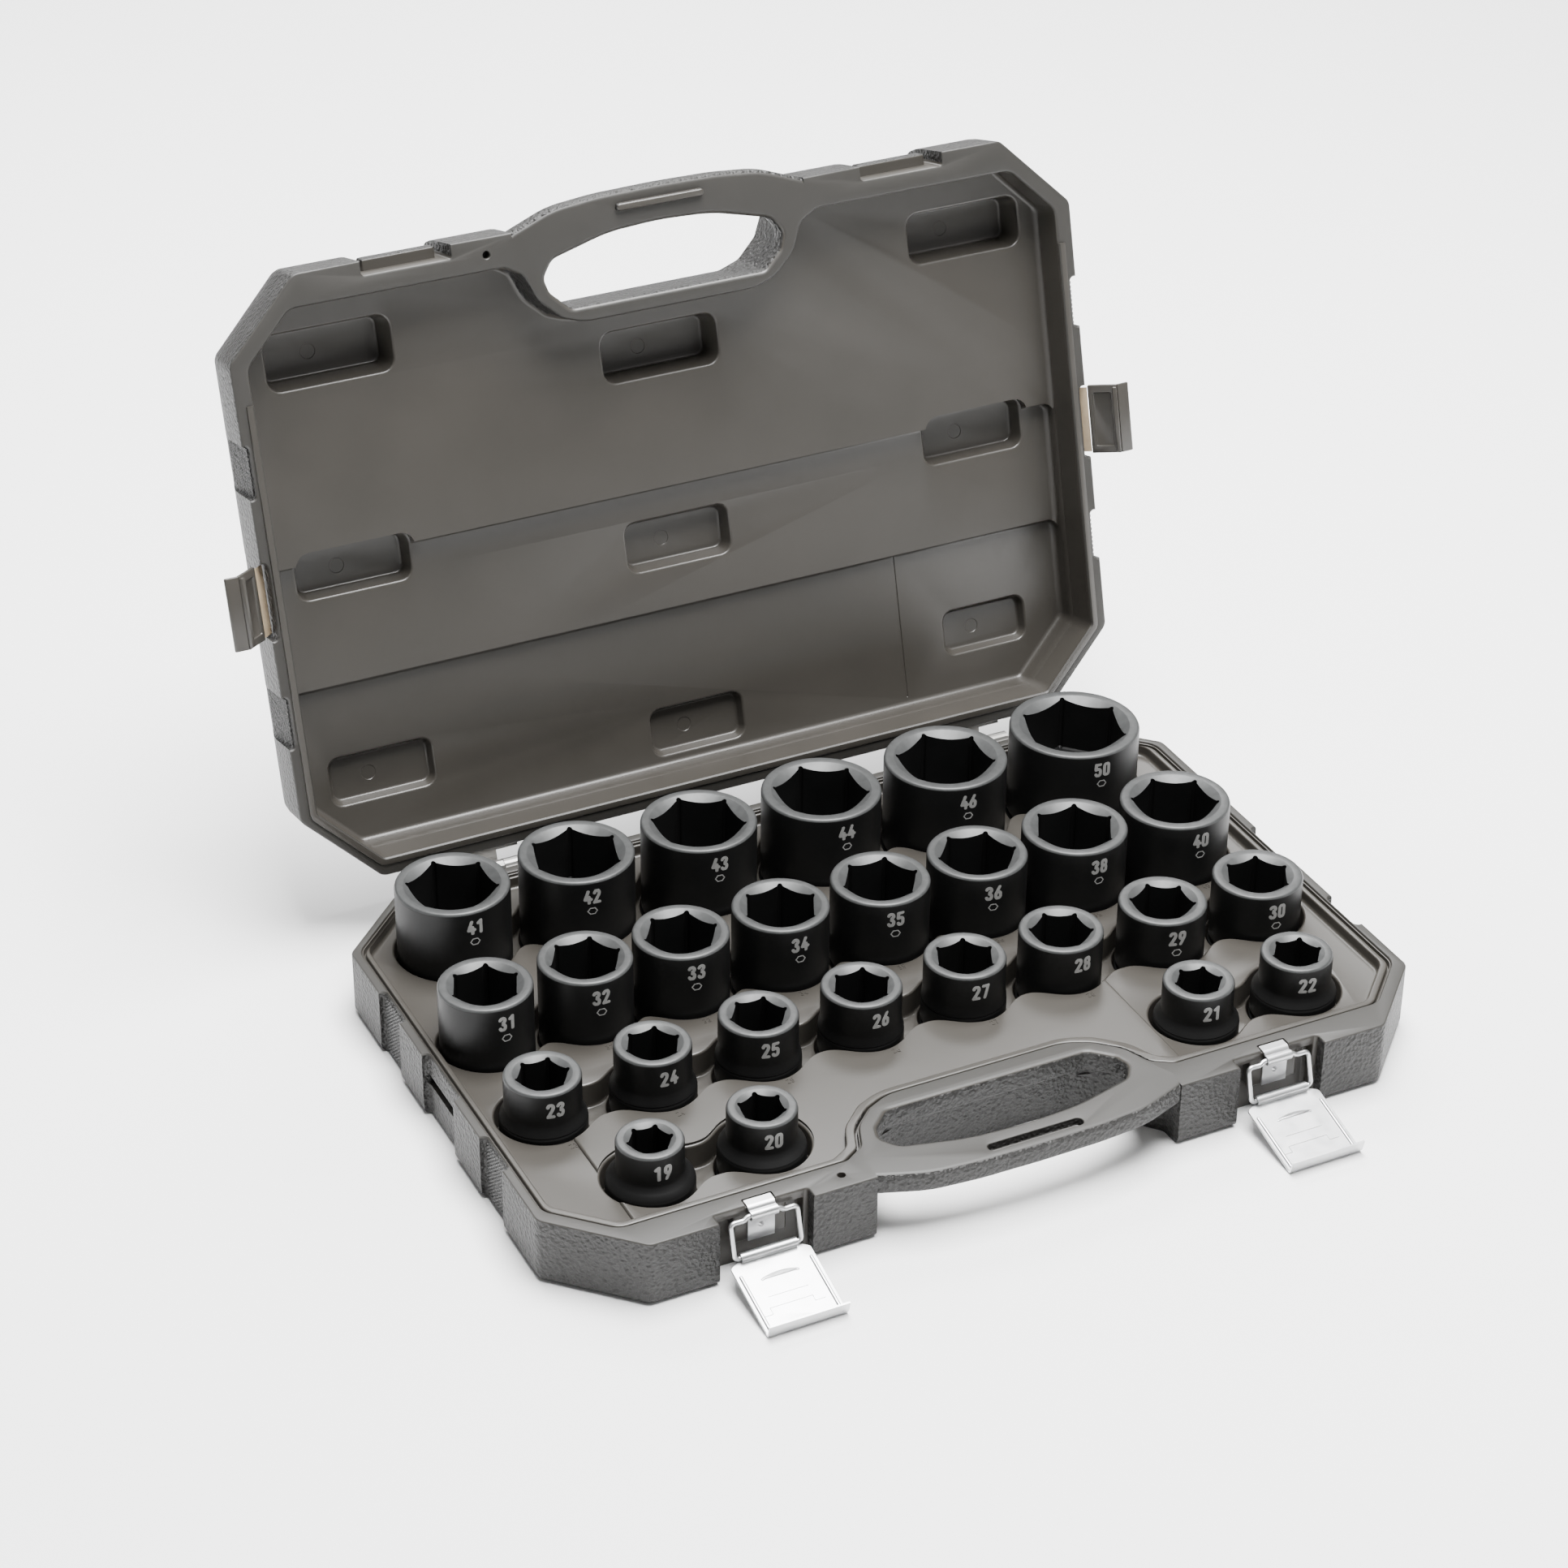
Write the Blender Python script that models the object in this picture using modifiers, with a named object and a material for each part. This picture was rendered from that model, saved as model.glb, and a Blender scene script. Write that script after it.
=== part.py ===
"""Impact socket set in a blow-moulded carry case, lid open.

Frame: X right, -Y to the front edge with the handle and latches, +Z up.
The origin is the middle of the flat underside of the base.  Metres.
The lid and all that rides on it is drawn in the closed position and then
turned about the hinge axis into the open rest position.
"""

from math import atan2, cos, hypot, pi, radians, sin, tan

import bmesh
import bpy
from mathutils import Matrix, Vector

MM = 0.001
GAP = 0.3 * MM  # between neighbours that touch on the real thing

# Case halves
CASE_W = 486 * MM
CASE_D = 324 * MM
CHAMFER = 40 * MM  # corner cut, measured along each side
BASE_H = 37 * MM
LID_H = 43.5 * MM
CORNER_R = 7 * MM
TRAY_DROP = 7.5 * MM  # upper face of the tray below the rim
LEDGE_DROP = 1.4 * MM
POCKET_Z = 3 * MM  # floor of every socket pocket
CHANNEL_Z = 15.5 * MM  # floor of the finger channels
TONGUE_H = 1.1 * MM

# Lid inside: depth of the three zones and where they change
ZONE_FRONT = 22.5 * MM
ZONE_MIDDLE = 29.5 * MM
ZONE_REAR = 34 * MM
STEP_FRONT_Y = -7 * MM
STEP_REAR_Y = 62 * MM
KISS_DEPTH = 5.5 * MM

# Handle bay in the middle of the front edge
BAY_X = 84 * MM
BAY_DEEP = 49 * MM
GRIP_T = 12 * MM
GRIP_BOW = 11.5 * MM  # how far the grip stands out in front of the wall
SLOT_LEN = 52 * MM
SLOT_W = 5.6 * MM
SLOT_OUT = 3 * MM
SLOT_DEPTH = 4.5 * MM
RIB_H = 3 * MM

# Lid hinge
HINGE_OUT = 9 * MM  # axis behind the rear wall
HINGE_DROP = 5 * MM  # and below the base's rim
OPEN_DEG = 105.1
HINGE_X = 147.5 * MM
LEAF_W = 44 * MM
KNUCKLE_W = 19 * MM
KNUCKLE_R = 3.9 * MM
PIN_R = 1.5 * MM
LEAF_T = 1.5 * MM

# Front draw latches
LATCH_X = 142.5 * MM
NOTCH_W = 49 * MM
NOTCH_D = 7.5 * MM
BRACKET_W = 14 * MM
LIP_SEAT = 12.5 * MM  # how far back the bracket's top lip reaches
PAD_W = 28 * MM
PAD_Z = 16 * MM
PAD_HOLLOW = 22.5 * MM
SHEET = 1 * MM
WIRE_R = 1.25 * MM
BORE_R = 1.6 * MM
CURL_R = 2.6 * MM
BAIL_DROP = 4 * MM  # curl's axis below the base's rim
BAIL_LEN = 19.5 * MM
BAIL_TILT = 16
BAIL_TOP = 17.5 * MM
BAIL_LOW = 17.5 * MM
LEVER_W = 42 * MM
LEVER_LEN = 45 * MM
LEVER_TILT = 14.5
LIP_H = 8 * MM

# Side latches, moulded flaps on a thin hinge strip
SIDE_Y = 2.5 * MM
SIDE_W = 39 * MM
SIDE_RECESS = 3.5 * MM
SIDE_Z = 46 * MM
STRIP_LEN = 7.5 * MM
STRIP_T = 0.8 * MM
FLAP_LEN = 25.5 * MM
FLAP_T = 2.2 * MM
FLAP_LIP = 6.5 * MM
LIP_FLARE = 48
FLAP_SWING = -45  # with the lid open both flaps hang forward by this much

# Sockets: 19 mm square drive, six-point noses
DRIVE = 19.05 * MM
DRIVE_OD = 44 * MM
HEX_PLAY = 0.3 * MM
SIDES = 24
# row: y, socket height, pocket clearance, then (hex size, x, nose diameter)
ROWS = (
    (114.3, 66.0, 1.6, ((41, -188.5, 60.0), (42, -119, 61.3), (43, -48.5, 62),
                        (44, 24, 64.8), (46, 99.5, 67.3), (50, 180, 71.8))),
    (29.6, 61.5, 1.6, ((31, -205.3, 48.2), (32, -151.2, 48.6), (33, -98.2, 50),
                       (34, -41.8, 50.8), (35, 15.8, 52.4), (36, 73, 53.2),
                       (38, 131.8, 56.4), (40, 193.7, 59.3))),
    (-38.3, 51.0, 2.2, ((23, -203.8, 38.7), (24, -145, 39), (25, -87.3, 40.6),
                        (26, -29.8, 41.5), (27, 29.3, 42.5), (28, 85.4, 44),
                        (29, 146, 46.3), (30, 204, 47.8))),
    (-105.7, 49.0, 2.2, ((19, -177.2, 33.4), (20, -118, 34.9), (21, 126.9, 36.6),
                         (22, 185.3, 37.1))),
)

HALF_W = CASE_W / 2
HALF_D = CASE_D / 2
FRONT = -HALF_D
CORNER_SUM = HALF_W + HALF_D - CHAMFER  # |x| + |y| along a cut corner
TRAY_Z = BASE_H - TRAY_DROP
LEDGE_Z = BASE_H - LEDGE_DROP
HINGE_Y = HALF_D + HINGE_OUT
HINGE_Z = BASE_H - HINGE_DROP
BAIL_Z = BASE_H - BAIL_DROP
SLOT_Y = FRONT - SLOT_OUT
RIM = BASE_H + GAP  # parting plane of the closed lid
HINGE = Vector((0, HINGE_Y, HINGE_Z))
OPEN = Matrix.Rotation(-radians(OPEN_DEG), 4, "X")

for old in list(bpy.data.objects):
    bpy.data.objects.remove(old, do_unlink=True)

scene = bpy.context.scene
parts = bpy.data.collections.new("Socket set in case")
scene.collection.children.link(parts)
guides = bpy.data.collections.new("Cutters")
scene.collection.children.link(guides)


# ---------------------------------------------------------------- materials
def material(name, color, metallic, roughness):
    mat = bpy.data.materials.new(name)
    mat.use_nodes = True
    shader = mat.node_tree.nodes["Principled BSDF"]
    shader.inputs["Base Color"].default_value = (*color, 1)
    shader.inputs["Metallic"].default_value = metallic
    shader.inputs["Roughness"].default_value = roughness
    return mat


CASE = material("Case polyethylene", (0.11, 0.105, 0.095), 0.0, 0.45)
BLACK = material("Black phosphate steel", (0.018, 0.018, 0.019), 0.6, 0.42)
ZINC = material("Bright zinc plate", (0.72, 0.73, 0.75), 1.0, 0.25)
STEEL = material("Grey steel", (0.33, 0.32, 0.31), 1.0, 0.4)
STRIP = material("Natural polypropylene", (0.55, 0.5, 0.4), 0.0, 0.5)


# ---------------------------------------------------------------- outlines
def offset(points, distance):
    """Counter-clockwise outline moved inward by a distance."""
    out = []
    count = len(points)
    for i in range(count):
        a = Vector(points[i - 1])
        b = Vector(points[i])
        c = Vector(points[(i + 1) % count])
        u = (b - a).normalized()
        v = (c - b).normalized()
        n = Vector((-u.y, u.x)) + Vector((-v.y, v.x))
        scale = 2 * distance / n.length_squared
        out.append((b.x + n.x * scale, b.y + n.y * scale))
    return out


def rounded(points, radius, steps=2):
    """Outline with each corner turned into an arc, as far as it has room."""
    out = []
    count = len(points)
    for i in range(count):
        a = Vector(points[i - 1])
        b = Vector(points[i])
        c = Vector(points[(i + 1) % count])
        u = (a - b).normalized()
        v = (c - b).normalized()
        half = u.angle(v) / 2
        reach = min(radius / tan(half), 0.45 * (a - b).length, 0.45 * (c - b).length)
        r = reach * tan(half)
        middle = b + (u + v).normalized() * (r / sin(half))
        start = b + u * reach - middle
        end = b + v * reach - middle
        first = atan2(start.y, start.x)
        turn = (atan2(end.y, end.x) - first + pi) % (2 * pi) - pi
        for k in range(steps + 1):
            t = first + turn * k / steps
            out.append((middle.x + r * cos(t), middle.y + r * sin(t)))
    return out


def mirrored(half):
    """Whole outline from its right half, listed from -Y round to +Y."""
    return half + [(-x, y) for x, y in reversed(half)]


def octagon(x, front, back, cut_front, cut_back):
    """Case outline; each cut is |x| + |y| along a corner."""
    return mirrored([
        (cut_front - front, -front),
        (x, x - cut_front),
        (x, cut_back - x),
        (cut_back - back, back),
    ])


# ---------------------------------------------------------------- solids
def to_mesh(obj):
    """Curve or modified object made a plain welded mesh object."""
    graph = bpy.context.evaluated_depsgraph_get()
    mesh = bpy.data.meshes.new_from_object(obj.evaluated_get(graph))
    bm = bmesh.new()
    bm.from_mesh(mesh)
    bmesh.ops.remove_doubles(bm, verts=bm.verts, dist=1e-6)
    bmesh.ops.recalc_face_normals(bm, faces=bm.faces)
    bm.to_mesh(mesh)
    bm.free()
    name = obj.name
    new = bpy.data.objects.new(name + ".mesh", mesh)
    new.matrix_world = obj.matrix_world.copy()
    bpy.data.objects.remove(obj, do_unlink=True)
    guides.objects.link(new)
    new.name = name
    return new


def prism(points, z0, z1, bevel=0.0, top=False, rings=2):
    """Flat outline extruded from z0 to z1, its ends optionally bevelled."""
    curve = bpy.data.curves.new("outline", "CURVE")
    curve.dimensions = "2D"
    curve.fill_mode = "BOTH"
    curve.extrude = (z1 - z0) / 2
    line = curve.splines.new("POLY")
    line.points.add(len(points) - 1)
    for point, (x, y) in zip(line.points, points):
        point.co = (x, y, 0, 1)
    line.use_cyclic_u = True
    obj = bpy.data.objects.new("outline", curve)
    guides.objects.link(obj)
    obj.location.z = (z0 + z1) / 2
    bpy.context.view_layer.update()
    obj = to_mesh(obj)
    bake(obj)
    if bevel:
        end = z1 if top else z0
        bm = bmesh.new()
        bm.from_mesh(obj.data)
        edges = [e for e in bm.edges
                 if all(abs(v.co.z - end) < 1e-6 for v in e.verts)
                 and len(e.link_faces) == 2
                 and e.calc_face_angle(0) > 0.5]
        bmesh.ops.bevel(bm, geom=edges, offset=bevel, segments=rings, profile=0.5, affect="EDGES")
        bm.to_mesh(obj.data)
        bm.free()
    return obj


def bake(obj, matrix=None):
    """Put the object's placement, or a given one, into its mesh."""
    obj.data.transform(matrix if matrix else obj.matrix_world)
    obj.matrix_world = Matrix.Identity(4)
    return obj


def loft(sections):
    """Closed skin through outlines (points, z) of one point count."""
    bm = bmesh.new()
    rings = [[bm.verts.new((x, y, z)) for x, y in points] for points, z in sections]
    count = len(rings[0])
    for low, high in zip(rings, rings[1:]):
        for i in range(count):
            j = (i + 1) % count
            bm.faces.new((low[i], low[j], high[j], high[i]))
    bm.faces.new(list(reversed(rings[0])))
    bm.faces.new(rings[-1])
    return from_bmesh(bm, "loft")


def from_bmesh(bm, name):
    bmesh.ops.recalc_face_normals(bm, faces=bm.faces)
    mesh = bpy.data.meshes.new(name)
    bm.to_mesh(mesh)
    bm.free()
    obj = bpy.data.objects.new(name, mesh)
    guides.objects.link(obj)
    return obj


def box(x0, x1, y0, y1, z0, z1):
    bm = bmesh.new()
    bmesh.ops.create_cube(bm, size=1)
    for v in bm.verts:
        v.co.x = x1 if v.co.x > 0 else x0
        v.co.y = y1 if v.co.y > 0 else y0
        v.co.z = z1 if v.co.z > 0 else z0
    return from_bmesh(bm, "box")


def rod(axis, centre, radius, length, sides=16):
    """Cylinder along X, Y or Z."""
    bm = bmesh.new()
    bmesh.ops.create_cone(bm, cap_ends=True, segments=sides, radius1=radius,
                          radius2=radius, depth=length)
    turn = {"X": Matrix.Rotation(pi / 2, 4, "Y"),
            "Y": Matrix.Rotation(pi / 2, 4, "X"),
            "Z": Matrix.Identity(4)}[axis]
    bm.transform(Matrix.Translation(centre) @ turn)
    return from_bmesh(bm, "rod")


def combine(target, tool, operation):
    """Boolean applied at once; the tool is used up."""
    mod = target.modifiers.new(operation.title(), "BOOLEAN")
    mod.operation = operation
    mod.solver = "EXACT"
    mod.object = tool
    tool.hide_render = True
    tool.display_type = "WIRE"
    bpy.context.view_layer.update()
    graph = bpy.context.evaluated_depsgraph_get()
    mesh = bpy.data.meshes.new_from_object(target.evaluated_get(graph))
    target.modifiers.remove(mod)
    target.data = mesh
    bpy.data.objects.remove(tool, do_unlink=True)
    return target


def cut(target, *tools):
    for tool in tools:
        combine(target, tool, "DIFFERENCE")
    return target


def join(target, *tools):
    for tool in tools:
        combine(target, tool, "UNION")
    return target


def finish(obj, name, mat, origin=(0, 0, 0), turn=None, smooth=35):
    """Named sub-part: mesh turned into place, origin on its joint axis."""
    origin = Vector(origin)
    if turn:
        obj.data.transform(Matrix.Translation(HINGE) @ turn @ Matrix.Translation(-HINGE))
    obj.data.transform(Matrix.Translation(-origin))
    obj.location = origin
    bm = bmesh.new()
    bm.from_mesh(obj.data)
    bmesh.ops.remove_doubles(bm, verts=bm.verts, dist=2e-6)
    bmesh.ops.dissolve_limit(bm, angle_limit=radians(0.05), verts=bm.verts, edges=bm.edges)
    bm.to_mesh(obj.data)
    bm.free()
    obj.data.shade_smooth()
    obj.data.set_sharp_from_angle(angle=radians(smooth))
    obj.data.materials.clear()
    obj.data.materials.append(mat)
    obj.name = name
    obj.data.name = name
    guides.objects.unlink(obj)
    parts.objects.link(obj)
    return obj


def on_open_lid(point):
    """Where a point of the closed lid is with the lid open."""
    return HINGE + OPEN @ (Vector(point) - HINGE)


# ---------------------------------------------------------------- shared outlines
def from_front(points):
    """Points (x, distance back from the front wall) in millimetres."""
    return [(x * MM, FRONT + back * MM) for x, back in points]


def inset_octagon(side, front, back, cut_front, cut_back):
    """Case outline with each wall and each corner cut moved in by its own amount."""
    return octagon(HALF_W - side * MM, HALF_D - front * MM, HALF_D - back * MM,
                   CORNER_SUM - cut_front * MM, CORNER_SUM - cut_back * MM)


def inset_with_bay(insets, bay):
    """The same, stepping round the handle bay."""
    return mirrored(from_front(bay) + inset_octagon(*insets)[:4])


OUTER = inset_octagon(0, 0, 0, 0, 0)
LAND_INSETS = (5, 18, 5.5, 10.5, 5.5)
LID_INSETS = (9.6, 17.5, 9.9, 13, 10.5)

# land edge of the base, and the tray inside the ledge; bay corners come first
LAND = inset_with_bay(LAND_INSETS, [(50, 56.7), (62, 51), (74, 40), (80, 25), (91, 18)])
TRAY = inset_with_bay((10, 23.5, 9.4, 19, 9),
                      [(52, 62.7), (66, 56.5), (79.5, 44), (86, 29.5), (96, 23.5)])
LID_IN = inset_with_bay(LID_INSETS, [(50, 53.5), (62, 49), (74, 38), (80, 23.5), (90, 17.5)])


def shell(levels):
    """Outer skin of a case half from (inset, z) levels."""
    return loft([(rounded(offset(OUTER, inset), CORNER_R), z) for inset, z in levels])


def grip_plate(z0, z1):
    """Bowed plate that carries the handle, let into the blocks beside it."""
    edge = BAY_X + 6 * MM
    bow = [(34 * MM, FRONT - GRIP_BOW + 0.6 * MM), (60 * MM, FRONT - GRIP_BOW + 3 * MM),
           (BAY_X, FRONT + 0.4 * MM), (edge, FRONT + 4 * MM), (edge, FRONT + 53 * MM)]
    return prism([(0, FRONT - GRIP_BOW)] + mirrored(bow), z0, z1)


def grip_hole(z0, z1):
    """Finger opening behind the grip."""
    half = from_front([(30, 9.6), (63, 18), (69, 27), (66.5, 35), (56, 45)])
    return prism(rounded(from_front([(0, 8)]) + mirrored(half), 5 * MM, 2), z0, z1)


def slot_outline(x, y, length, width):
    r = width / 2
    reach = length / 2 - r
    turn = [(reach + r * cos(t), r * sin(t)) for t in
            (-pi / 2, -pi / 4, 0, pi / 4, pi / 2)]
    return [(x + px, y + py) for px, py in turn + [(-px, -py) for px, py in turn]]


def bay_block(z0, z1):
    """Hollow behind and below the grip plate, its inner corners cut back."""
    side = [(BAY_X, FRONT - 20 * MM), (BAY_X, FRONT + 13 * MM)]
    corner = from_front([(77, 21), (71, 34.5), (60, 45)])
    return prism(mirrored(side + corner + [(48 * MM, FRONT + BAY_DEEP)]), z0, z1)


def side_panels(obj, z0, z1):
    """Recessed ribbed panels and the side-latch seat on both flanks."""
    spans = ((-80 * MM, -52 * MM), (54 * MM, 82 * MM),
             (SIDE_Y - SIDE_W / 2 - 1 * MM, SIDE_Y + SIDE_W / 2 + 1 * MM))
    for y0, y1 in spans:
        for s in (-1, 1):
            edges = sorted((s * (HALF_W - SIDE_RECESS), s * (HALF_W + 5 * MM)))
            cut(obj, box(*edges, y0, y1, z0, z1))


def latch_notch(obj, s, z0, z1):
    x = s * LATCH_X
    cut(obj, box(x - NOTCH_W / 2, x + NOTCH_W / 2, FRONT - 5 * MM,
                 FRONT + NOTCH_D, z0, z1))


# ---------------------------------------------------------------- base half
base = shell(((5 * MM, 0), (2.6 * MM, 0.8 * MM), (1.2 * MM, 3 * MM), (0, BASE_H)))
cut(base, bay_block(-5 * MM, BASE_H + 5 * MM))
join(base, grip_plate(BASE_H - GRIP_T, BASE_H))
cut(base, grip_hole(0, BASE_H + 5 * MM))
cut(base, prism(slot_outline(0, SLOT_Y, SLOT_LEN, SLOT_W),
                BASE_H - SLOT_DEPTH, BASE_H + 5 * MM))
for side in (-1, 1):
    latch_notch(base, side, -5 * MM, BASE_H + 5 * MM)
    # deep hollow round the pad that carries the bracket, under the rim
    hollow = box(side * LATCH_X - PAD_HOLLOW, side * LATCH_X + PAD_HOLLOW,
                 FRONT - 2 * MM, FRONT + 13.5 * MM, -5 * MM, BASE_H - 5 * MM)
    cut(hollow, box(side * LATCH_X - PAD_W / 2, side * LATCH_X + PAD_W / 2,
                    FRONT + NOTCH_D + 0.05 * MM, FRONT + 22 * MM, PAD_Z, BASE_H + 3 * MM))
    cut(base, hollow)
    # seat for the bracket's top lip
    cut(base, box(side * LATCH_X - 8 * MM, side * LATCH_X + 8 * MM,
                  FRONT, FRONT + LIP_SEAT, BASE_H - 1.4 * MM, BASE_H + 5 * MM))
    # groove that the side latch's lip hooks into
    groove = sorted((side * (HALF_W - 7.5 * MM), side * (HALF_W + 5 * MM)))
    cut(base, box(*groove, SIDE_Y - SIDE_W / 2 - 1 * MM, SIDE_Y + SIDE_W / 2 + 1 * MM,
                  SIDE_Z - FLAP_LEN - 1 * MM, SIDE_Z - FLAP_LEN + 3.8 * MM))
side_panels(base, -5 * MM, BASE_H + 5 * MM)
cut(base, prism(rounded(LAND, 8 * MM), LEDGE_Z, BASE_H + 5 * MM))
cut(base, prism(rounded(TRAY, 8 * MM), TRAY_Z, BASE_H + 5 * MM, 1.2 * MM))
cut(base, rod("Z", (-99 * MM, FRONT + 9 * MM, BASE_H), 2 * MM, 12 * MM, 12))

for row_y, height, play, row in ROWS:
    row_y *= MM
    for size, x, nose in row:
        radius = max(nose * MM, DRIVE_OD) / 2 + play * MM
        cut(base, rod("Z", (x * MM, row_y, TRAY_Z), radius, 2 * (TRAY_Z - POCKET_Z), SIDES))
    for (s0, x0, n0), (s1, x1, n1) in zip(row, row[1:]):
        if x1 - x0 > 100:
            continue  # the handle bay splits the front row
        cut(base, box(x0 * MM, x1 * MM, row_y - 13.5 * MM, row_y + 12.5 * MM,
                      CHANNEL_Z, BASE_H))
finish(base, "base_case", CASE)

# ---------------------------------------------------------------- lid half
lid = shell(((0, RIM), (0.8 * MM, RIM + 24 * MM), (3.2 * MM, RIM + 37 * MM),
             (6 * MM, RIM + 41.5 * MM), (10 * MM, RIM + LID_H)))
cut(lid, bay_block(RIM - 5 * MM, RIM + LID_H + 5 * MM))
join(lid, grip_plate(RIM, RIM + GRIP_T))
cut(lid, grip_hole(RIM - 5 * MM, RIM + LID_H))
join(lid, prism(slot_outline(0, SLOT_Y, SLOT_LEN - 2 * MM, SLOT_W - 1.6 * MM),
                RIM - RIB_H, RIM + 2 * MM))
cut(lid, prism(rounded(LID_IN, 8 * MM), RIM - 5 * MM, RIM + ZONE_FRONT, 2.5 * MM, True))
inner = inset_octagon(*[inset + 0.4 for inset in LID_INSETS])  # a hair inside the wall above
for start, depth in ((STEP_FRONT_Y, ZONE_MIDDLE), (STEP_REAR_Y, ZONE_REAR)):
    zone = mirrored([(inner[2][0], start)] + inner[2:4])
    cut(lid, prism(rounded(zone, 6 * MM), RIM + 2 * MM, RIM + depth, 2.5 * MM, True))
# locating tongue along the flanks and the back, dropping into the base's ledge
ring = inset_octagon(*LAND_INSETS)
tongue = prism(rounded(offset(ring, 0.4 * MM), 7.6 * MM), RIM - TONGUE_H, RIM + 1 * MM)
cut(tongue, prism(rounded(offset(ring, 4.4 * MM), 5 * MM), RIM - 5 * MM, RIM + 5 * MM))
cut(tongue, box(-HALF_W, HALF_W, FRONT, FRONT + 62 * MM, RIM - 5 * MM, RIM + 5 * MM))
join(lid, tongue)
# pockets where the two skins meet: (x0, x1, y0, y1, depth of the zone they start in)
KISS = (
    (-217, -149.5, -128, -100, ZONE_FRONT), (-33, 33, -95, -69, ZONE_FRONT),
    (154, 221, -126, -100, ZONE_FRONT), (-216, -154, -11, 13, ZONE_MIDDLE),
    (-30, 30, 12, 38, ZONE_MIDDLE), (154.5, 214.5, -11, 15, ZONE_MIDDLE),
    (-213, -156, 104, 129, ZONE_REAR), (-27, 27, 120, 145, ZONE_REAR),
    (158, 208, 104, 128, ZONE_REAR),
)
for x0, x1, y0, y1, depth in KISS:
    corners = [(x0 * MM, y0 * MM), (x1 * MM, y0 * MM), (x1 * MM, y1 * MM), (x0 * MM, y1 * MM)]
    cut(lid, prism(rounded(corners, 5 * MM, 2), RIM + 5 * MM, RIM + depth + KISS_DEPTH,
                   1.5 * MM, True, 1))
for side in (-1, 1):
    latch_notch(lid, side, RIM - 5 * MM, RIM + LID_H + 5 * MM)
    # keeper lug that the lever's lip hooks over
    x = side * LATCH_X
    join(lid, box(x - 20 * MM, x + 20 * MM, FRONT + 1.5 * MM, FRONT + NOTCH_D + 2 * MM,
                  RIM + 12 * MM, RIM + 20.3 * MM))
side_panels(lid, RIM - 5 * MM, RIM + LID_H + 5 * MM)
cut(lid, rod("Z", (-99 * MM, FRONT + 9 * MM, RIM), 2 * MM, 12 * MM, 12))
finish(lid, "lid_case", CASE, HINGE, OPEN)

# ---------------------------------------------------------------- lid hinges
for side, word in ((-1, "left"), (1, "right")):
    x = side * HINGE_X
    wall = HALF_D + GAP
    bore = PIN_R + GAP
    half = LEAF_W / 2
    inner_half = KNUCKLE_W / 2
    leaf = box(x - half, x + half, wall, wall + LEAF_T, HINGE_Z - 14 * MM, HINGE_Z + 2 * MM)
    for s in (-1, 1):
        span = sorted((x + s * (inner_half + GAP), x + s * half))
        join(leaf, box(*span, wall + 0.5 * MM, HINGE_Y, HINGE_Z - 2 * MM, HINGE_Z + 1.5 * MM))
        join(leaf, rod("X", (sum(span) / 2, HINGE_Y, HINGE_Z), KNUCKLE_R, span[1] - span[0]))
    cut(leaf, rod("X", (x, HINGE_Y, HINGE_Z), bore, LEAF_W + 4 * MM, 12))
    # the knuckle of the lid turns in this clearance
    cut(leaf, rod("X", (x, HINGE_Y, HINGE_Z), KNUCKLE_R + 2 * GAP, KNUCKLE_W + 2 * GAP, 16))
    finish(leaf, "hinge_leaf_base_" + word, STEEL)

    leaf = box(x - half, x + half, wall, wall + LEAF_T, RIM + 2 * MM, RIM + 18 * MM)
    join(leaf, box(x - inner_half, x + inner_half, wall + 0.5 * MM, HINGE_Y + 3 * MM,
                   RIM + 2 * MM, RIM + 4.5 * MM))
    join(leaf, box(x - inner_half, x + inner_half, HINGE_Y - 1 * MM, HINGE_Y + 3 * MM,
                   HINGE_Z, RIM + 4.5 * MM))
    join(leaf, rod("X", (x, HINGE_Y, HINGE_Z), KNUCKLE_R, KNUCKLE_W))
    cut(leaf, rod("X", (x, HINGE_Y, HINGE_Z), bore, KNUCKLE_W + 4 * MM, 12))
    finish(leaf, "hinge_leaf_lid_" + word, STEEL, HINGE, OPEN)

    pin = rod("X", (x, HINGE_Y, HINGE_Z), PIN_R, LEAF_W + 5 * MM, 12)
    finish(pin, "hinge_pin_" + word, ZINC, (x, HINGE_Y, HINGE_Z))


# ---------------------------------------------------------------- front latches
def wire(points, radius):
    """Closed loop of round wire through rounded corner points."""
    curve = bpy.data.curves.new("wire", "CURVE")
    curve.dimensions = "3D"
    curve.bevel_depth = radius
    curve.bevel_resolution = 2
    line = curve.splines.new("POLY")
    line.points.add(len(points) - 1)
    for point, (px, py, pz) in zip(line.points, points):
        point.co = (px, py, pz, 1)
    line.use_cyclic_u = True
    obj = bpy.data.objects.new("wire", curve)
    guides.objects.link(obj)
    bpy.context.view_layer.update()
    return bake(to_mesh(obj))


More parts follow.
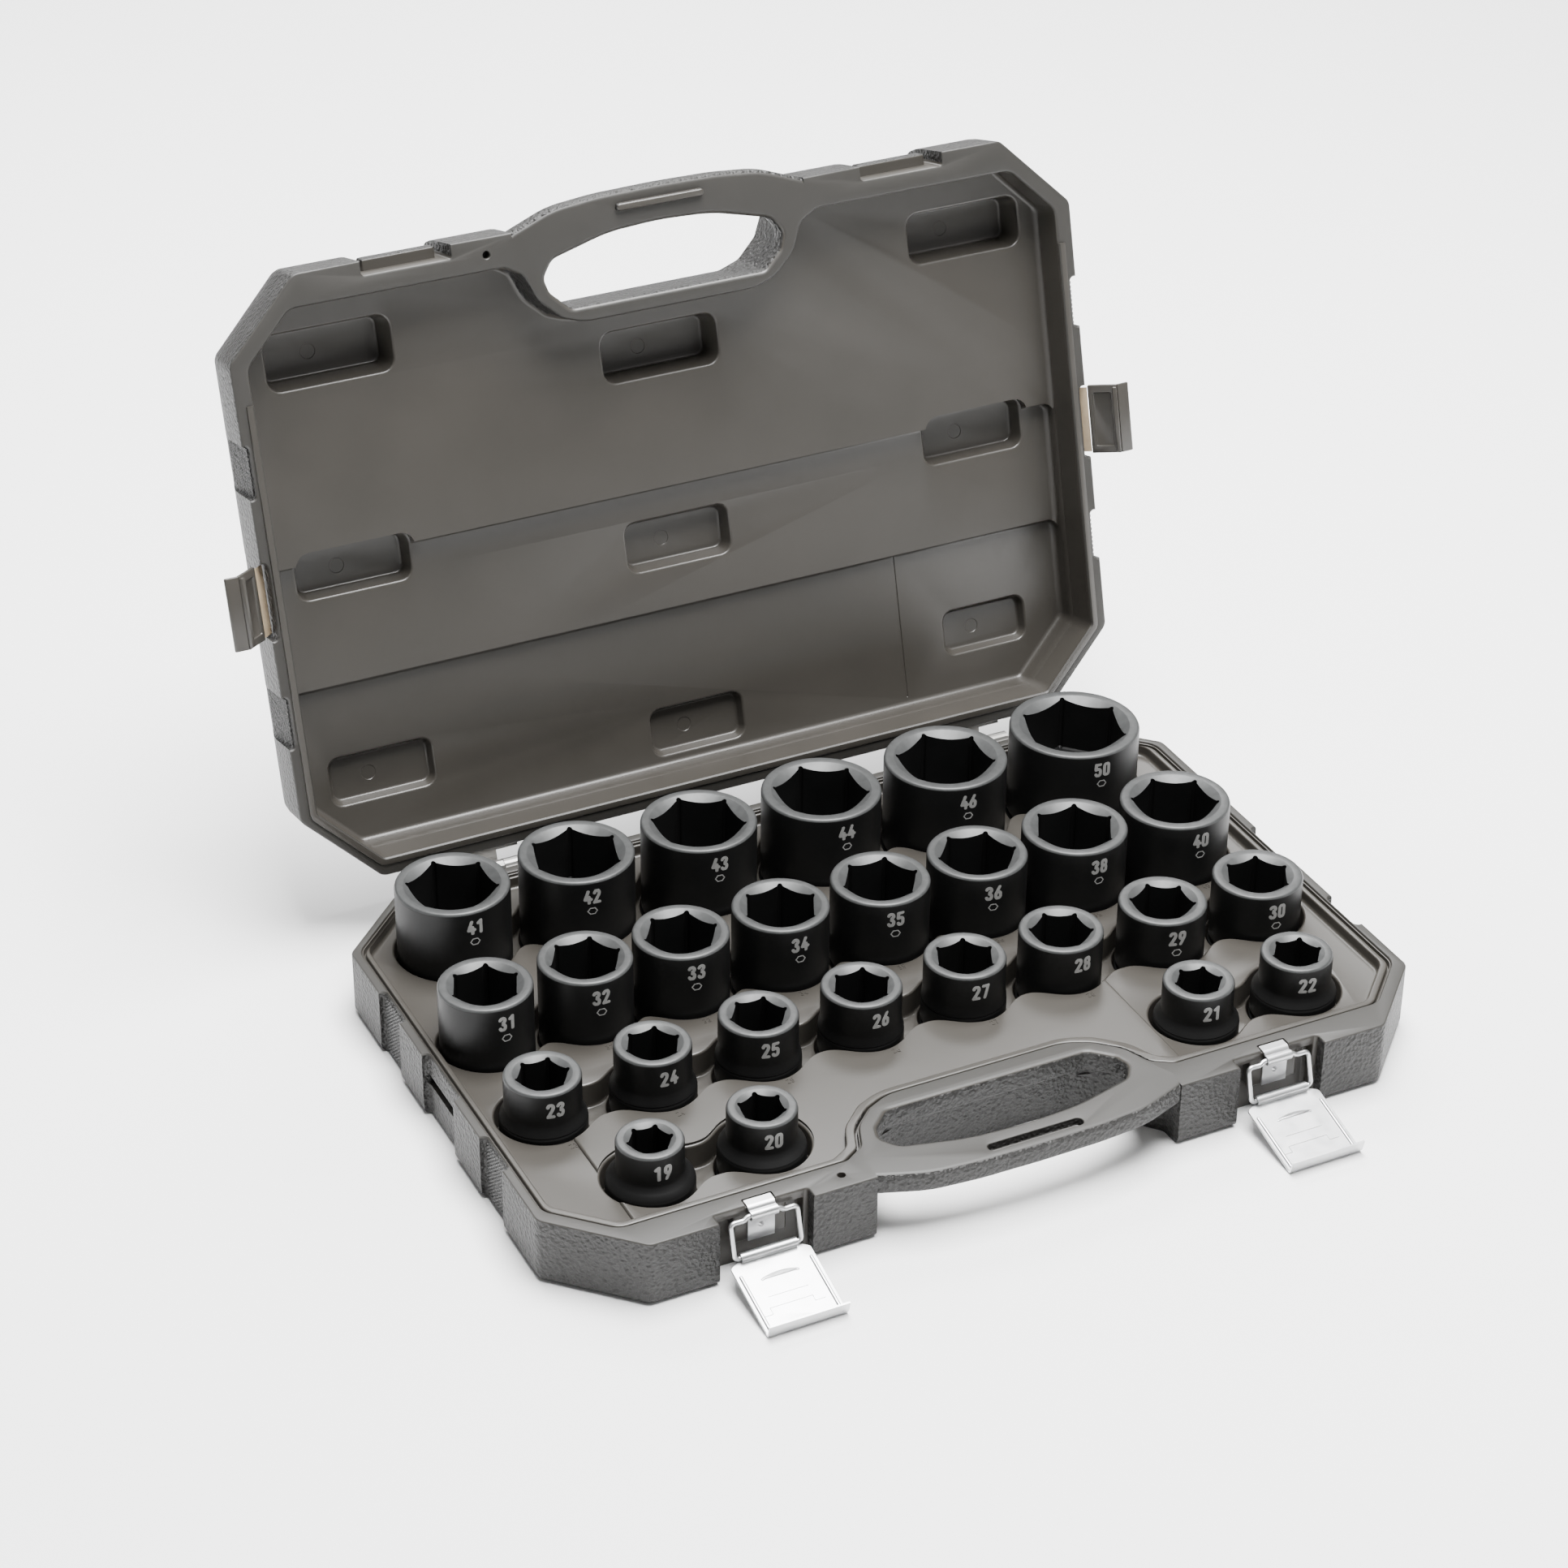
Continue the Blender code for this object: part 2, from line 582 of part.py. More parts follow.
pad_y = FRONT + NOTCH_D  # face that the bracket lies on
curl_y = pad_y - GAP - SHEET - CURL_R + 0.5 * MM
tilt = radians(BAIL_TILT)
bar_y = curl_y - BAIL_LEN * sin(tilt)
bar_z = BAIL_Z - BAIL_LEN * cos(tilt)
for side, word in ((-1, "left"), (1, "right")):
    x = side * LATCH_X
    half = BRACKET_W / 2
    back = pad_y - GAP
    bracket = box(x - half, x + half, back - SHEET, back, 16.5 * MM, BASE_H - 0.1 * MM)
    join(bracket, box(x - half, x + half, back - SHEET, FRONT + LIP_SEAT - 0.8 * MM,
                      BASE_H - 1.1 * MM, BASE_H - 0.1 * MM))
    join(bracket, rod("X", (x, curl_y, BAIL_Z), CURL_R, BRACKET_W))
    cut(bracket, rod("X", (x, curl_y, BAIL_Z), BORE_R, BRACKET_W + 4 * MM, 12))
    finish(bracket, "latch_bracket_" + word, ZINC)

    loop = rounded([(-BAIL_TOP, 0), (BAIL_TOP, 0), (BAIL_LOW, -BAIL_LEN),
                    (-BAIL_LOW, -BAIL_LEN)], 2.5 * MM, 3)
    path = [(x + u, curl_y + v * sin(tilt), BAIL_Z + v * cos(tilt)) for u, v in loop]
    finish(wire(path, WIRE_R), "latch_bail_" + word, ZINC, (x, curl_y, BAIL_Z))

    # the lever is drawn along -Y from the bar and then tipped down about it
    top = bar_z - BORE_R - 0.1 * MM
    far = bar_y - LEVER_LEN
    wide = LEVER_W / 2
    plate = prism(rounded([(x - wide, far), (x + wide, far), (x + wide, bar_y - 3 * MM),
                           (x + 15 * MM, bar_y + 0.5 * MM), (x - 15 * MM, bar_y + 0.5 * MM),
                           (x - wide, bar_y - 3 * MM)], 1.2 * MM, 2), top - SHEET, top)
    join(plate, box(x - wide + 1.6 * MM, x + wide - 1.6 * MM, far + 0.1 * MM,
                    far + 0.1 * MM + SHEET, top - SHEET / 2, top - SHEET + LIP_H))
    for s in (-1, 1):
        edge = sorted((x + s * (wide - 1.1 * MM), x + s * (wide - 0.02 * MM)))
        join(plate, box(*edge, far + 5 * MM, bar_y - 6 * MM, top - SHEET / 2, top + 2 * MM))
    join(plate, rod("X", (x, bar_y, bar_z), CURL_R - 0.1 * MM, 28 * MM))
    cut(plate, rod("X", (x, bar_y, bar_z), BORE_R, 34 * MM, 12))
    about = Matrix.Translation((x, bar_y, bar_z))
    tip = about @ Matrix.Rotation(radians(LEVER_TILT), 4, "X") @ about.inverted()
    bake(plate, tip)
    finish(plate, "latch_lever_" + word, ZINC, (x, bar_y, bar_z))

# ---------------------------------------------------------------- side latches
for side, word in ((-1, "left"), (1, "right")):
    face = HALF_W - SIDE_RECESS
    axis_x = side * (face + GAP + STRIP_T / 2)
    y0 = SIDE_Y - SIDE_W / 2
    y1 = SIDE_Y + SIDE_W / 2
    about = Matrix.Translation((axis_x, SIDE_Y, SIDE_Z))
    back = about @ Matrix.Rotation(-side * radians(FLAP_SWING), 4, "Y") @ about.inverted()
    strip = box(*sorted((axis_x, axis_x + side * STRIP_LEN)), y0 + 1 * MM, y1 - 1 * MM,
                SIDE_Z - STRIP_T / 2, SIDE_Z + STRIP_T / 2)
    bake(strip, back)
    axis = on_open_lid((axis_x, SIDE_Y, SIDE_Z))
    finish(strip, "side_latch_strip_" + word, STRIP, axis, OPEN)

    low = SIDE_Z - STRIP_T / 2
    start = axis_x + side * (STRIP_LEN + GAP)
    end = axis_x + side * FLAP_LEN
    flap = box(*sorted((start, end)), y0, y1, low, low + FLAP_T)
    # hook on the inner face, and the finger lip flared away from the case
    join(flap, box(*sorted((end - side * 2.9 * MM, end - side * 0.5 * MM)),
                   y0 + 1 * MM, y1 - 1 * MM, low - 2.2 * MM, low + FLAP_T / 2))
    lip = box(*sorted((end - side * 1.4 * MM, end + side * FLAP_LIP)), y0 + 0.02 * MM,
              y1 - 0.02 * MM, low + 0.1 * MM, low + FLAP_T - 0.1 * MM)
    root = Matrix.Translation((end - side * 1 * MM, SIDE_Y, low + FLAP_T / 2))
    bake(lip, root @ Matrix.Rotation(-side * radians(LIP_FLARE), 4, "Y") @ root.inverted())
    join(flap, lip)
    bake(flap, back)
    finish(flap, "side_latch_" + word, CASE, axis, OPEN)


# ---------------------------------------------------------------- sockets
def turned(profile, steps):
    """Solid of revolution; the profile runs from the top down to the bottom."""
    mesh = bpy.data.meshes.new("profile")
    verts = [(r, 0, z) for r, z in profile]
    mesh.from_pydata(verts, [(i, i + 1) for i in range(len(verts) - 1)], [])
    obj = bpy.data.objects.new("profile", mesh)
    guides.objects.link(obj)
    screw = obj.modifiers.new("Screw", "SCREW")
    screw.steps = steps
    screw.render_steps = steps
    screw.use_merge_vertices = True
    screw.merge_threshold = 1e-5
    bpy.context.view_layer.update()
    return to_mesh(obj)


def hex_prism(across, z0, z1):
    """Six-point bore."""
    r = across / 2 / cos(pi / 6)
    return prism([(r * cos(k * pi / 3), r * sin(k * pi / 3)) for k in range(6)], z0, z1)


for row_y, height, play, row in ROWS:
    height *= MM
    for size, x, nose in row:
        nose *= MM
        drive = max(nose, DRIVE_OD) if nose < 43.5 * MM else nose
        across = size * MM + HEX_PLAY
        corner = across / 2 / cos(pi / 6)
        mouth = corner + 0.3 * MM
        flat = across / 2 - 0.6 * MM
        dip = (mouth - flat) * tan(radians(30))
        profile = [(0, height - dip), (flat, height - dip), (mouth, height),
                   (nose / 2 - 1.2 * MM, height), (nose / 2, height - 1.2 * MM)]
        if drive > nose:
            profile += [(nose / 2, 32 * MM), (drive / 2, 26 * MM)]
        profile += [(drive / 2, 1.2 * MM), (drive / 2 - 1.2 * MM, 0), (0, 0)]
        body = turned(profile, SIDES)
        depth = min(0.5 * height, 0.75 * size * MM + 8 * MM)
        cut(body, hex_prism(across, height - depth, height + 5 * MM))
        half = DRIVE / 2
        cut(body, box(-half, half, -half, half, -5 * MM, height - depth + 1 * MM))
        place = (x * MM, row_y * MM, POCKET_Z + GAP)
        obj = finish(body, "socket_%dmm" % size, BLACK)
        obj.location = place
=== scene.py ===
"""Impact socket set in its blow-moulded carry case: materials and fine surface."""

from math import atan2, cos, pi, radians, sin, tan

import bmesh
import bpy
import numpy as np
from mathutils import Matrix, Vector


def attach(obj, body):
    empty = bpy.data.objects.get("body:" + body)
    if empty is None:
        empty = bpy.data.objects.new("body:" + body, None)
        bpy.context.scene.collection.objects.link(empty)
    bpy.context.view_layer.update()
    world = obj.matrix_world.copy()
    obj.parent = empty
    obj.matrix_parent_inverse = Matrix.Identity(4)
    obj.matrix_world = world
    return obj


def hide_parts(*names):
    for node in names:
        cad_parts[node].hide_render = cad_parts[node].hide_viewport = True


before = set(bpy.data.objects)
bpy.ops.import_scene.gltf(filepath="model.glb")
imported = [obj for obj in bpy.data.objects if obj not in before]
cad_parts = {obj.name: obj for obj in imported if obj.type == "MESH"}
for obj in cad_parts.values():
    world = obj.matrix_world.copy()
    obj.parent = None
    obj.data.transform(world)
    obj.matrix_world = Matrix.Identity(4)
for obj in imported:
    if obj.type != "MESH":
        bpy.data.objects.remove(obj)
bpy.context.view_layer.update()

MM = 0.001
RIM = 37.3  # parting plane of the closed lid, millimetres
HINGE = Vector((0, 0.171, 0.032))
OPEN = Matrix.Translation(HINGE) @ Matrix.Rotation(radians(-105.1), 4, "X") @ Matrix.Translation(-HINGE)

# row: y, height, pocket clearance, then (hex size, x, nose diameter)
ROWS = (
    (114.3, 66.0, 1.6, ((41, -188.5, 60.0), (42, -119, 61.3), (43, -48.5, 62),
                        (44, 24, 64.8), (46, 99.5, 67.3), (50, 180, 71.8))),
    (29.6, 61.5, 1.6, ((31, -205.3, 48.2), (32, -151.2, 48.6), (33, -98.2, 50),
                       (34, -41.8, 50.8), (35, 15.8, 52.4), (36, 73, 53.2),
                       (38, 131.8, 56.4), (40, 193.7, 59.3))),
    (-38.3, 51.0, 2.2, ((23, -203.8, 38.7), (24, -145, 39), (25, -87.3, 40.6),
                        (26, -29.8, 41.5), (27, 29.3, 42.5), (28, 85.4, 44),
                        (29, 146, 46.3), (30, 204, 47.8))),
    (-105.7, 49.0, 2.2, ((19, -177.2, 33.4), (20, -118, 34.9), (21, 126.9, 36.6),
                         (22, 185.3, 37.1))),
)
DRIVE_OD = 44.0


# ------------------------------------------------------------ camera and light
def place_camera():
    lens = bpy.data.cameras.new("camera")
    lens.lens = 88.1
    lens.sensor_width = 36
    lens.clip_end = 50
    eye = bpy.data.objects.new("camera", lens)
    spot = Vector((-0.7685, -1.4362, 1.1594))
    look = (Vector((0.0145, 0.1401, 0.060)) - spot).normalized()
    right = look.cross(Vector((0, 0, 1))).normalized()
    up = right.cross(look)
    roll = radians(0.46)
    right, up = cos(roll) * right + sin(roll) * up, cos(roll) * up - sin(roll) * right
    turn = Matrix((right, up, -look)).transposed().to_4x4()
    eye.matrix_world = Matrix.Translation(spot) @ turn
    bpy.context.scene.collection.objects.link(eye)
    bpy.context.scene.camera = eye


def area_light(name, place, aim, size, watts, tint=(1, 1, 1)):
    lamp = bpy.data.lights.new(name, "AREA")
    lamp.shape = "RECTANGLE"
    lamp.size, lamp.size_y = size
    lamp.energy = watts
    lamp.color = tint
    obj = bpy.data.objects.new(name, lamp)
    obj.location = place
    obj.rotation_euler = (Vector(aim) - Vector(place)).to_track_quat("-Z", "Y").to_euler()
    bpy.context.scene.collection.objects.link(obj)


place_camera()


# ------------------------------------------------------------ materials
def srgb(code, alpha=1.0):
    """Hex colour turned to linear."""
    parts = [int(code[i:i + 2], 16) / 255 for i in (1, 3, 5)]
    return tuple(c / 12.92 if c <= 0.04045 else ((c + 0.055) / 1.055) ** 2.4
                 for c in parts) + (alpha,)


def node(tree, kind, settings=None, **links):
    """One node with its settings, its socket values and its links."""
    made = tree.nodes.new(kind)
    for key, value in (settings or {}).items():
        setattr(made, key, value)
    for key, value in links.items():
        key = key.replace("_", " ")
        socket = made.inputs[int(key[1:])] if key[0] == "i" and key[1:].isdigit() else made.inputs[key]
        if isinstance(value, bpy.types.NodeSocket):
            tree.links.new(value, socket)
        else:
            socket.default_value = value
    return made


def new_material(name):
    mat = bpy.data.materials.new(name)
    mat.use_nodes = True
    tree = mat.node_tree
    return mat, tree, tree.nodes["Principled BSDF"]


def moulded_case(name, dark, light, rough_low, rough_high, grained=False):
    """Blow-moulded polyethylene: warm dark grey, waxy, with a low broad sheen."""
    mat, tree, shader = new_material(name)
    place = node(tree, "ShaderNodeTexCoord").outputs["Object"]
    cloud = node(tree, "ShaderNodeTexNoise", Vector=place, Scale=18.0, Detail=3.0)
    mix = node(tree, "ShaderNodeMix", {"data_type": "RGBA"}, Factor=cloud.outputs[0])
    mix.inputs[6].default_value = srgb(dark)
    mix.inputs[7].default_value = srgb(light)
    tree.links.new(mix.outputs[2], shader.inputs["Base Color"])
    rough = node(tree, "ShaderNodeMapRange", Value=cloud.outputs[0])
    rough.inputs["To Min"].default_value = rough_low
    rough.inputs["To Max"].default_value = rough_high
    tree.links.new(rough.outputs[0], shader.inputs["Roughness"])
    if grained:
        # leather grain, cells about 2 mm across
        cells = node(tree, "ShaderNodeTexVoronoi", {"feature": "SMOOTH_F1"},
                     Vector=place, Scale=430.0, Smoothness=0.5)
        wrinkle = node(tree, "ShaderNodeTexNoise", Vector=place, Scale=700.0, Detail=2.0)
        both = node(tree, "ShaderNodeMath", {"operation": "ADD"},
                    i0=cells.outputs["Distance"], i1=wrinkle.outputs[0])
        bump = node(tree, "ShaderNodeBump", Height=both.outputs[0], Strength=0.9,
                    Distance=0.0011)
    else:
        # the slight ripple of a skin blown against the mould
        ripple = node(tree, "ShaderNodeTexNoise", Vector=place, Scale=90.0, Detail=4.0)
        bump = node(tree, "ShaderNodeBump", Height=ripple.outputs[0], Strength=0.12,
                    Distance=0.0006)
    tree.links.new(bump.outputs[0], shader.inputs["Normal"])
    return mat


# tray and lid inside, blown against a polished mould; the flat lands, duller, and the outer walls, grained:
# both in darker copies of the same plastic, which is painted shade
SMOOTH_CASE = moulded_case("polyethylene_smooth", "#312f2b", "#3a3733", 0.3, 0.39)
LAND_CASE_PAINTED_SHADE = moulded_case("polyethylene_satin_land_painted_shade", "#242320", "#2c2a27", 0.46, 0.56)
GRAIN_CASE_PAINTED_SHADE = moulded_case("polyethylene_leather_grain_painted_shade", "#161514", "#1f1e1c", 0.46, 0.58, True)


# ------------------------------------------------------------ outlines, millimetres
def rounded(points, radius, steps=8):
    """Outline with each corner turned into an arc, as far as it has room."""
    out = []
    count = len(points)
    radii = radius if isinstance(radius, (list, tuple)) else [radius] * count
    for i in range(count):
        a, b, c = (Vector(points[k % count]) for k in (i - 1, i, i + 1))
        u, v = (a - b).normalized(), (c - b).normalized()
        half = u.angle(v) / 2
        if half > pi / 2 - 0.01:
            out.append(tuple(b))
            continue
        reach = min(radii[i] / tan(half), 0.46 * (a - b).length, 0.46 * (c - b).length)
        r = reach * tan(half)
        middle = b + (u + v).normalized() * (r / sin(half))
        first = atan2(*(b + u * reach - middle).yx)
        turn = (atan2(*(b + v * reach - middle).yx) - first + pi) % (2 * pi) - pi
        for k in range(steps + 1):
            t = first + turn * k / steps
            out.append((middle.x + r * cos(t), middle.y + r * sin(t)))
    return out


def resampled(points, spacing):
    """Long straight runs divided, short steps kept."""
    out = []
    for a, b in zip(points, points[1:] + points[:1]):
        a, b = np.array(a), np.array(b)
        gap = np.linalg.norm(b - a)
        if gap < 1e-4:
            continue
        count = max(1, int(gap / spacing + 0.5))
        out += [tuple(a + (b - a) * k / count) for k in range(count)]
    return out


def outward(points):
    """Outward unit normals of a counter-clockwise outline."""
    p = np.array(points, float)
    a = p - np.roll(p, 1, axis=0)
    b = np.roll(p, -1, axis=0) - p
    a /= np.linalg.norm(a, axis=1)[:, None]
    b /= np.linalg.norm(b, axis=1)[:, None]
    t = a + b
    t /= np.linalg.norm(t, axis=1)[:, None]
    stretch = np.clip(1 / np.maximum((a * t).sum(1), 0.5), 1, 1.6)
    return np.stack([t[:, 1], -t[:, 0]], 1) * stretch[:, None]


def mirrored(half):
    return half + [(-x, y) for x, y in reversed(half)]


def octagon(x, front, back, cut_front, cut_back):
    return mirrored([(cut_front - front, -front), (x, x - cut_front),
                     (x, cut_back - x), (cut_back - back, back)])


def with_bay(x, front, back, cut_front, cut_back, bay):
    return mirrored(bay + octagon(x, front, back, cut_front, cut_back)[:4])


def circle(x, y, r, count=96):
    return [(x + r * cos(2 * pi * k / count), y + r * sin(2 * pi * k / count))
            for k in range(count)]


def rectangle(x0, x1, y0, y1, r):
    return rounded([(x0, y0), (x1, y0), (x1, y1), (x0, y1)], r, 5)


def contour(field, x0, x1, y0, y1, step):
    """Closed zero lines of a field that is negative inside, by marching squares."""
    xs = np.arange(x0, x1 + step / 2, step)
    ys = np.arange(y0, y1 + step / 2, step)
    value = field(xs[:, None], ys[None, :])
    inside = value < 0
    mixed = (inside[:-1, :-1].astype(int) + inside[1:, :-1] + inside[:-1, 1:] + inside[1:, 1:])
    points, links = {}, {}
    for i, j in np.argwhere((mixed > 0) & (mixed < 4)):
        corners = [(i, j), (i + 1, j), (i + 1, j + 1), (i, j + 1)]
        hits = []
        for k in range(4):
            a, b = corners[k], corners[(k + 1) % 4]
            if inside[a] == inside[b]:
                continue
            key = (min(a, b), max(a, b))
            t = value[a] / (value[a] - value[b])
            points[key] = (xs[a[0]] + (xs[b[0]] - xs[a[0]]) * t, ys[a[1]] + (ys[b[1]] - ys[a[1]]) * t)
            hits.append((key, inside[a]))
        if len(hits) == 2:
            (first, was_in), (second, _) = hits
            if was_in:
                links[first] = second
            else:
                links[second] = first
    loops = []
    while links:
        start = key = next(iter(links))
        loop = []
        while key in links:
            loop.append(points[key])
            key = links.pop(key)
        if key == start and len(loop) > 20:
            loops.append(loop)
    return [loop if area(loop) > 0 else loop[::-1] for loop in loops]


def area(points):
    p = np.array(points)
    q = np.roll(p, -1, axis=0)
    return (p[:, 0] * q[:, 1] - q[:, 0] * p[:, 1]).sum() / 2


def even(points, spacing):
    """Closed outline resampled to an even spacing and lightly smoothed."""
    p = np.array(points)
    for _ in range(2):
        p = 0.25 * np.roll(p, 1, 0) + 0.5 * p + 0.25 * np.roll(p, -1, 0)
    closed = np.vstack([p, p[:1]])
    run = np.concatenate([[0], np.cumsum(np.linalg.norm(np.diff(closed, axis=0), axis=1))])
    count = int(run[-1] / spacing)
    at = np.linspace(0, run[-1], count, endpoint=False)
    return list(zip(np.interp(at, run, closed[:, 0]), np.interp(at, run, closed[:, 1])))


# ------------------------------------------------------------ solids
def mesh_object(name, verts, faces, scale=MM):
    mesh = bpy.data.meshes.new(name)
    mesh.from_pydata([tuple(c * scale for c in v) for v in verts], [], faces)
    mesh.update()
    obj = bpy.data.objects.new(name, mesh)
    bpy.context.scene.collection.objects.link(obj)
    return obj


def skin(shapes):
    """One mesh of closed lofts; each shape is (outline, [(offset, z), ...] rising).
    An offset or a height may be one number or one for each outline point."""
    verts, faces = [], []
    for outline, profile in shapes:
        p = np.array(outline, float)
        n = outward(outline)
        count = len(p)
        base = len(verts)
        for off, z in profile:
            ring = p + n * np.reshape(np.broadcast_to(off, count), (-1, 1))
            zs = np.broadcast_to(z, count)
            verts += [(x, y, h) for (x, y), h in zip(ring.tolist(), zs.tolist())]
        for r in range(len(profile) - 1):
            low, high = base + r * count, base + (r + 1) * count
            faces += [(low + i, low + (i + 1) % count, high + (i + 1) % count, high + i)
                      for i in range(count)]
        faces.append(tuple(range(base + count - 1, base - 1, -1)))
        top = base + (len(profile) - 1) * count
        faces.append(tuple(range(top, top + count)))
    return mesh_object("skin", verts, faces)


def layered(rings):
    """Closed loft through (outline, z) rings that have one point count."""
    verts = [(x, y, z) for outline, z in rings for x, y in outline]
    count = len(rings[0][0])
    faces = [(a + i, a + (i + 1) % count, a + count + (i + 1) % count, a + count + i)
             for a in range(0, count * (len(rings) - 1), count) for i in range(count)]
    faces.append(tuple(range(count - 1, -1, -1)))
    faces.append(tuple(range(len(verts) - count, len(verts))))
    return mesh_object("layered", verts, faces)


def opening(outline, floor, top, floor_r=1.5, rim_r=1.0, draft=0.0, over=2.0):
    """Cutter sunk from top to floor: rounded at the floor, flared at the rim."""
    profile = []
    for k in range(5):
        a = pi / 2 * k / 4
        profile.append((-floor_r * (1 - sin(a)), floor + floor_r * (1 - cos(a))))
    rim = np.asarray(rim_r, float)
    if not rim.any():
        return outline, profile + [(draft, top)]
    for a in (0, 0.25, 0.5, 0.75, 0.93):
        t = pi / 2 * a
        profile.append((draft + rim * (1 - cos(t)), top - rim * (1 - sin(t))))
    profile.append((draft + rim, top + 0.02))
    profile.append((draft + rim, top + over))
    return outline, profile


def through(outline, low, high, rim_r):
    """Cutter through a plate, flared at both faces."""
    steps = (0.07, 0.3, 0.55, 0.8, 1)
    down = [(rim_r * (1 - sin(pi / 2 * a)), low + rim_r * (1 - cos(pi / 2 * a))) for a in steps]
    up = [(off, low + high - z) for off, z in reversed(down)]
    return outline, [(rim_r, low - 3), (rim_r, low - 0.02)] + down + up + [
        (rim_r, high + 0.02), (rim_r, high + 3)]


def rounded_block(outline, low, high, low_r, high_r):
    """Solid with its lower and upper edges rounded."""
    steps = [k / 5 for k in range(6)]
    profile = [(-low_r * (1 - sin(pi / 2 * a)), low + low_r * (1 - cos(pi / 2 * a))) for a in steps]
    profile += [(-high_r * (1 - cos(pi / 2 * a)), high - high_r * (1 - sin(pi / 2 * a)))
                for a in steps]
    return outline, profile


def combine(target, tool, operation):
    mod = target.modifiers.new(operation, "BOOLEAN")
    mod.operation = operation
    mod.solver = "EXACT"
    mod.object = tool
    graph = bpy.context.evaluated_depsgraph_get()
    graph.update()
    mesh = bpy.data.meshes.new_from_object(target.evaluated_get(graph))
    target.modifiers.remove(mod)
    target.data = mesh
    bpy.data.objects.remove(tool, do_unlink=True)
    return target


def cut(target, *shapes):
    return combine(target, skin(shapes), "DIFFERENCE")


def join(target, *shapes):
    return combine(target, skin(shapes), "UNION")


# ------------------------------------------------------------ case halves
OUTER = rounded(octagon(243, 162, 162, 365, 365), 7)
LAND = rounded(with_bay(238, 144, 156.5, 354.5, 359.5,
                        [(50, -105.3), (62, -111), (74, -122), (80, -137), (91, -144)]),
               [40, 14, 20, 8, 8, 12, 12, 12, 12, 12, 12, 12, 12, 8, 8, 20, 14, 40])
TRAY = rounded(with_bay(233, 138.5, 152.6, 346, 356,
                        [(52, -99.3), (66, -105.5), (79.5, -118), (86, -132.5), (96, -138.5)]),
               [40, 14, 20, 8, 8, 10, 10, 10, 10, 10, 10, 10, 10, 8, 8, 20, 14, 40])
LID_IN = rounded(with_bay(233.4, 144.5, 152.1, 352, 354.5,
                          [(50, -108.5), (62, -113), (74, -124), (80, -138.5), (90, -144.5)]),
                 [40, 12, 20, 8, 8, 9, 9, 9, 9, 9, 9, 9, 9, 8, 8, 20, 12, 40])
BAY = rounded(mirrored([(84, -182), (84, -149), (77, -141), (71, -127.5), (60, -117), (48, -113)]),
              [0.5, 5, 6, 8, 8, 10, 10, 8, 8, 6, 5, 0.5])
GRIP = rounded([(0, -173.5)] + mirrored([(34, -172.9), (60, -170.5), (84, -161.6), (90, -158),
                                         (90, -109)]),
               [200, 150, 60, 30, 4, 4, 4, 4, 30, 60, 150])
HOLE = rounded([(0, -154)] + mirrored([(30, -152.4), (63, -144), (69, -135), (66.5, -127),
                                       (56, -117)]),
               [200, 90, 9, 6, 6, 6, 6, 6, 6, 9, 90])
SLOT = rounded(rectangle(-26, 26, -167.8, -162.2, 2.7), 0.1, 1)
PANELS = ((-80, -52), (54, 82), (-18, 23))


def side_seats(z0, z1):
    """Recesses of both flanks: two ribbed panels and the side-latch seat."""
    return [(rectangle(*sorted((s * 239.5, s * 252)), y0, y1, 2.5),
             [(1, z0 - 2), (1, z0 + 0.01), (0.3, z0 + 0.7), (0, z0 + 1.2), (0, z1 - 1.2),
              (0.3, z1 - 0.7), (1, z1 - 0.01), (1, z1 + 2)])
            for s in (-1, 1) for y0, y1 in PANELS]


def smin(a, b, k):
    h = np.clip(0.5 + 0.5 * (b - a) / k, 0, 1)
    return b * (1 - h) + a * h - k * h * (1 - h)


def row_openings():
    """Each row's pockets and finger channels as one soft-cornered opening."""
    shapes, pockets = [], []
    for row_y, _, play, row in ROWS:
        groups = [row] if len(row) > 4 else [row[:2], row[2:]]
        for group in groups:
            def field(x, y):
                d = None
                for _, cx, nose in group:
                    r = max(nose, DRIVE_OD) / 2 + play
                    ball = np.hypot(x - cx, y - row_y) - r
                    d = ball if d is None else smin(d, ball, 3.0)
                bar_x = np.maximum(group[0][1] - x, x - group[-1][1])
                bar = np.maximum(bar_x, np.maximum(row_y - 13.5 - y, y - row_y - 12.5))
                return smin(d, bar, 7.0)
            x0, x1 = group[0][1] - 45, group[-1][1] + 45
            for loop in contour(field, x0, x1, row_y - 45, row_y + 45, 1.0):
                line = even(loop, 1.3)
                n = outward(line)
                # the front lip of every pocket is worn into a wider, softer curve
                soft = np.clip(-n[:, 1] - 0.55, 0, 1) / 0.45
                near = np.min([np.abs(np.array(line)[:, 0] - cx) / (max(nose, 44) / 2)
                               for _, cx, nose in group], axis=0)
                soft = soft * np.clip(1.15 - near, 0, 1)
                shapes.append(opening(line, 15.5, 29.5, 1.6, 1.2 + 1.4 * soft))
            for _, cx, nose in group:
                r = max(nose, DRIVE_OD) / 2 + play - 0.8
                pockets.append(opening(circle(cx, row_y, r), 3, 15.5, 1.5, 0.7, 0, 1.5))
    return shapes, pockets


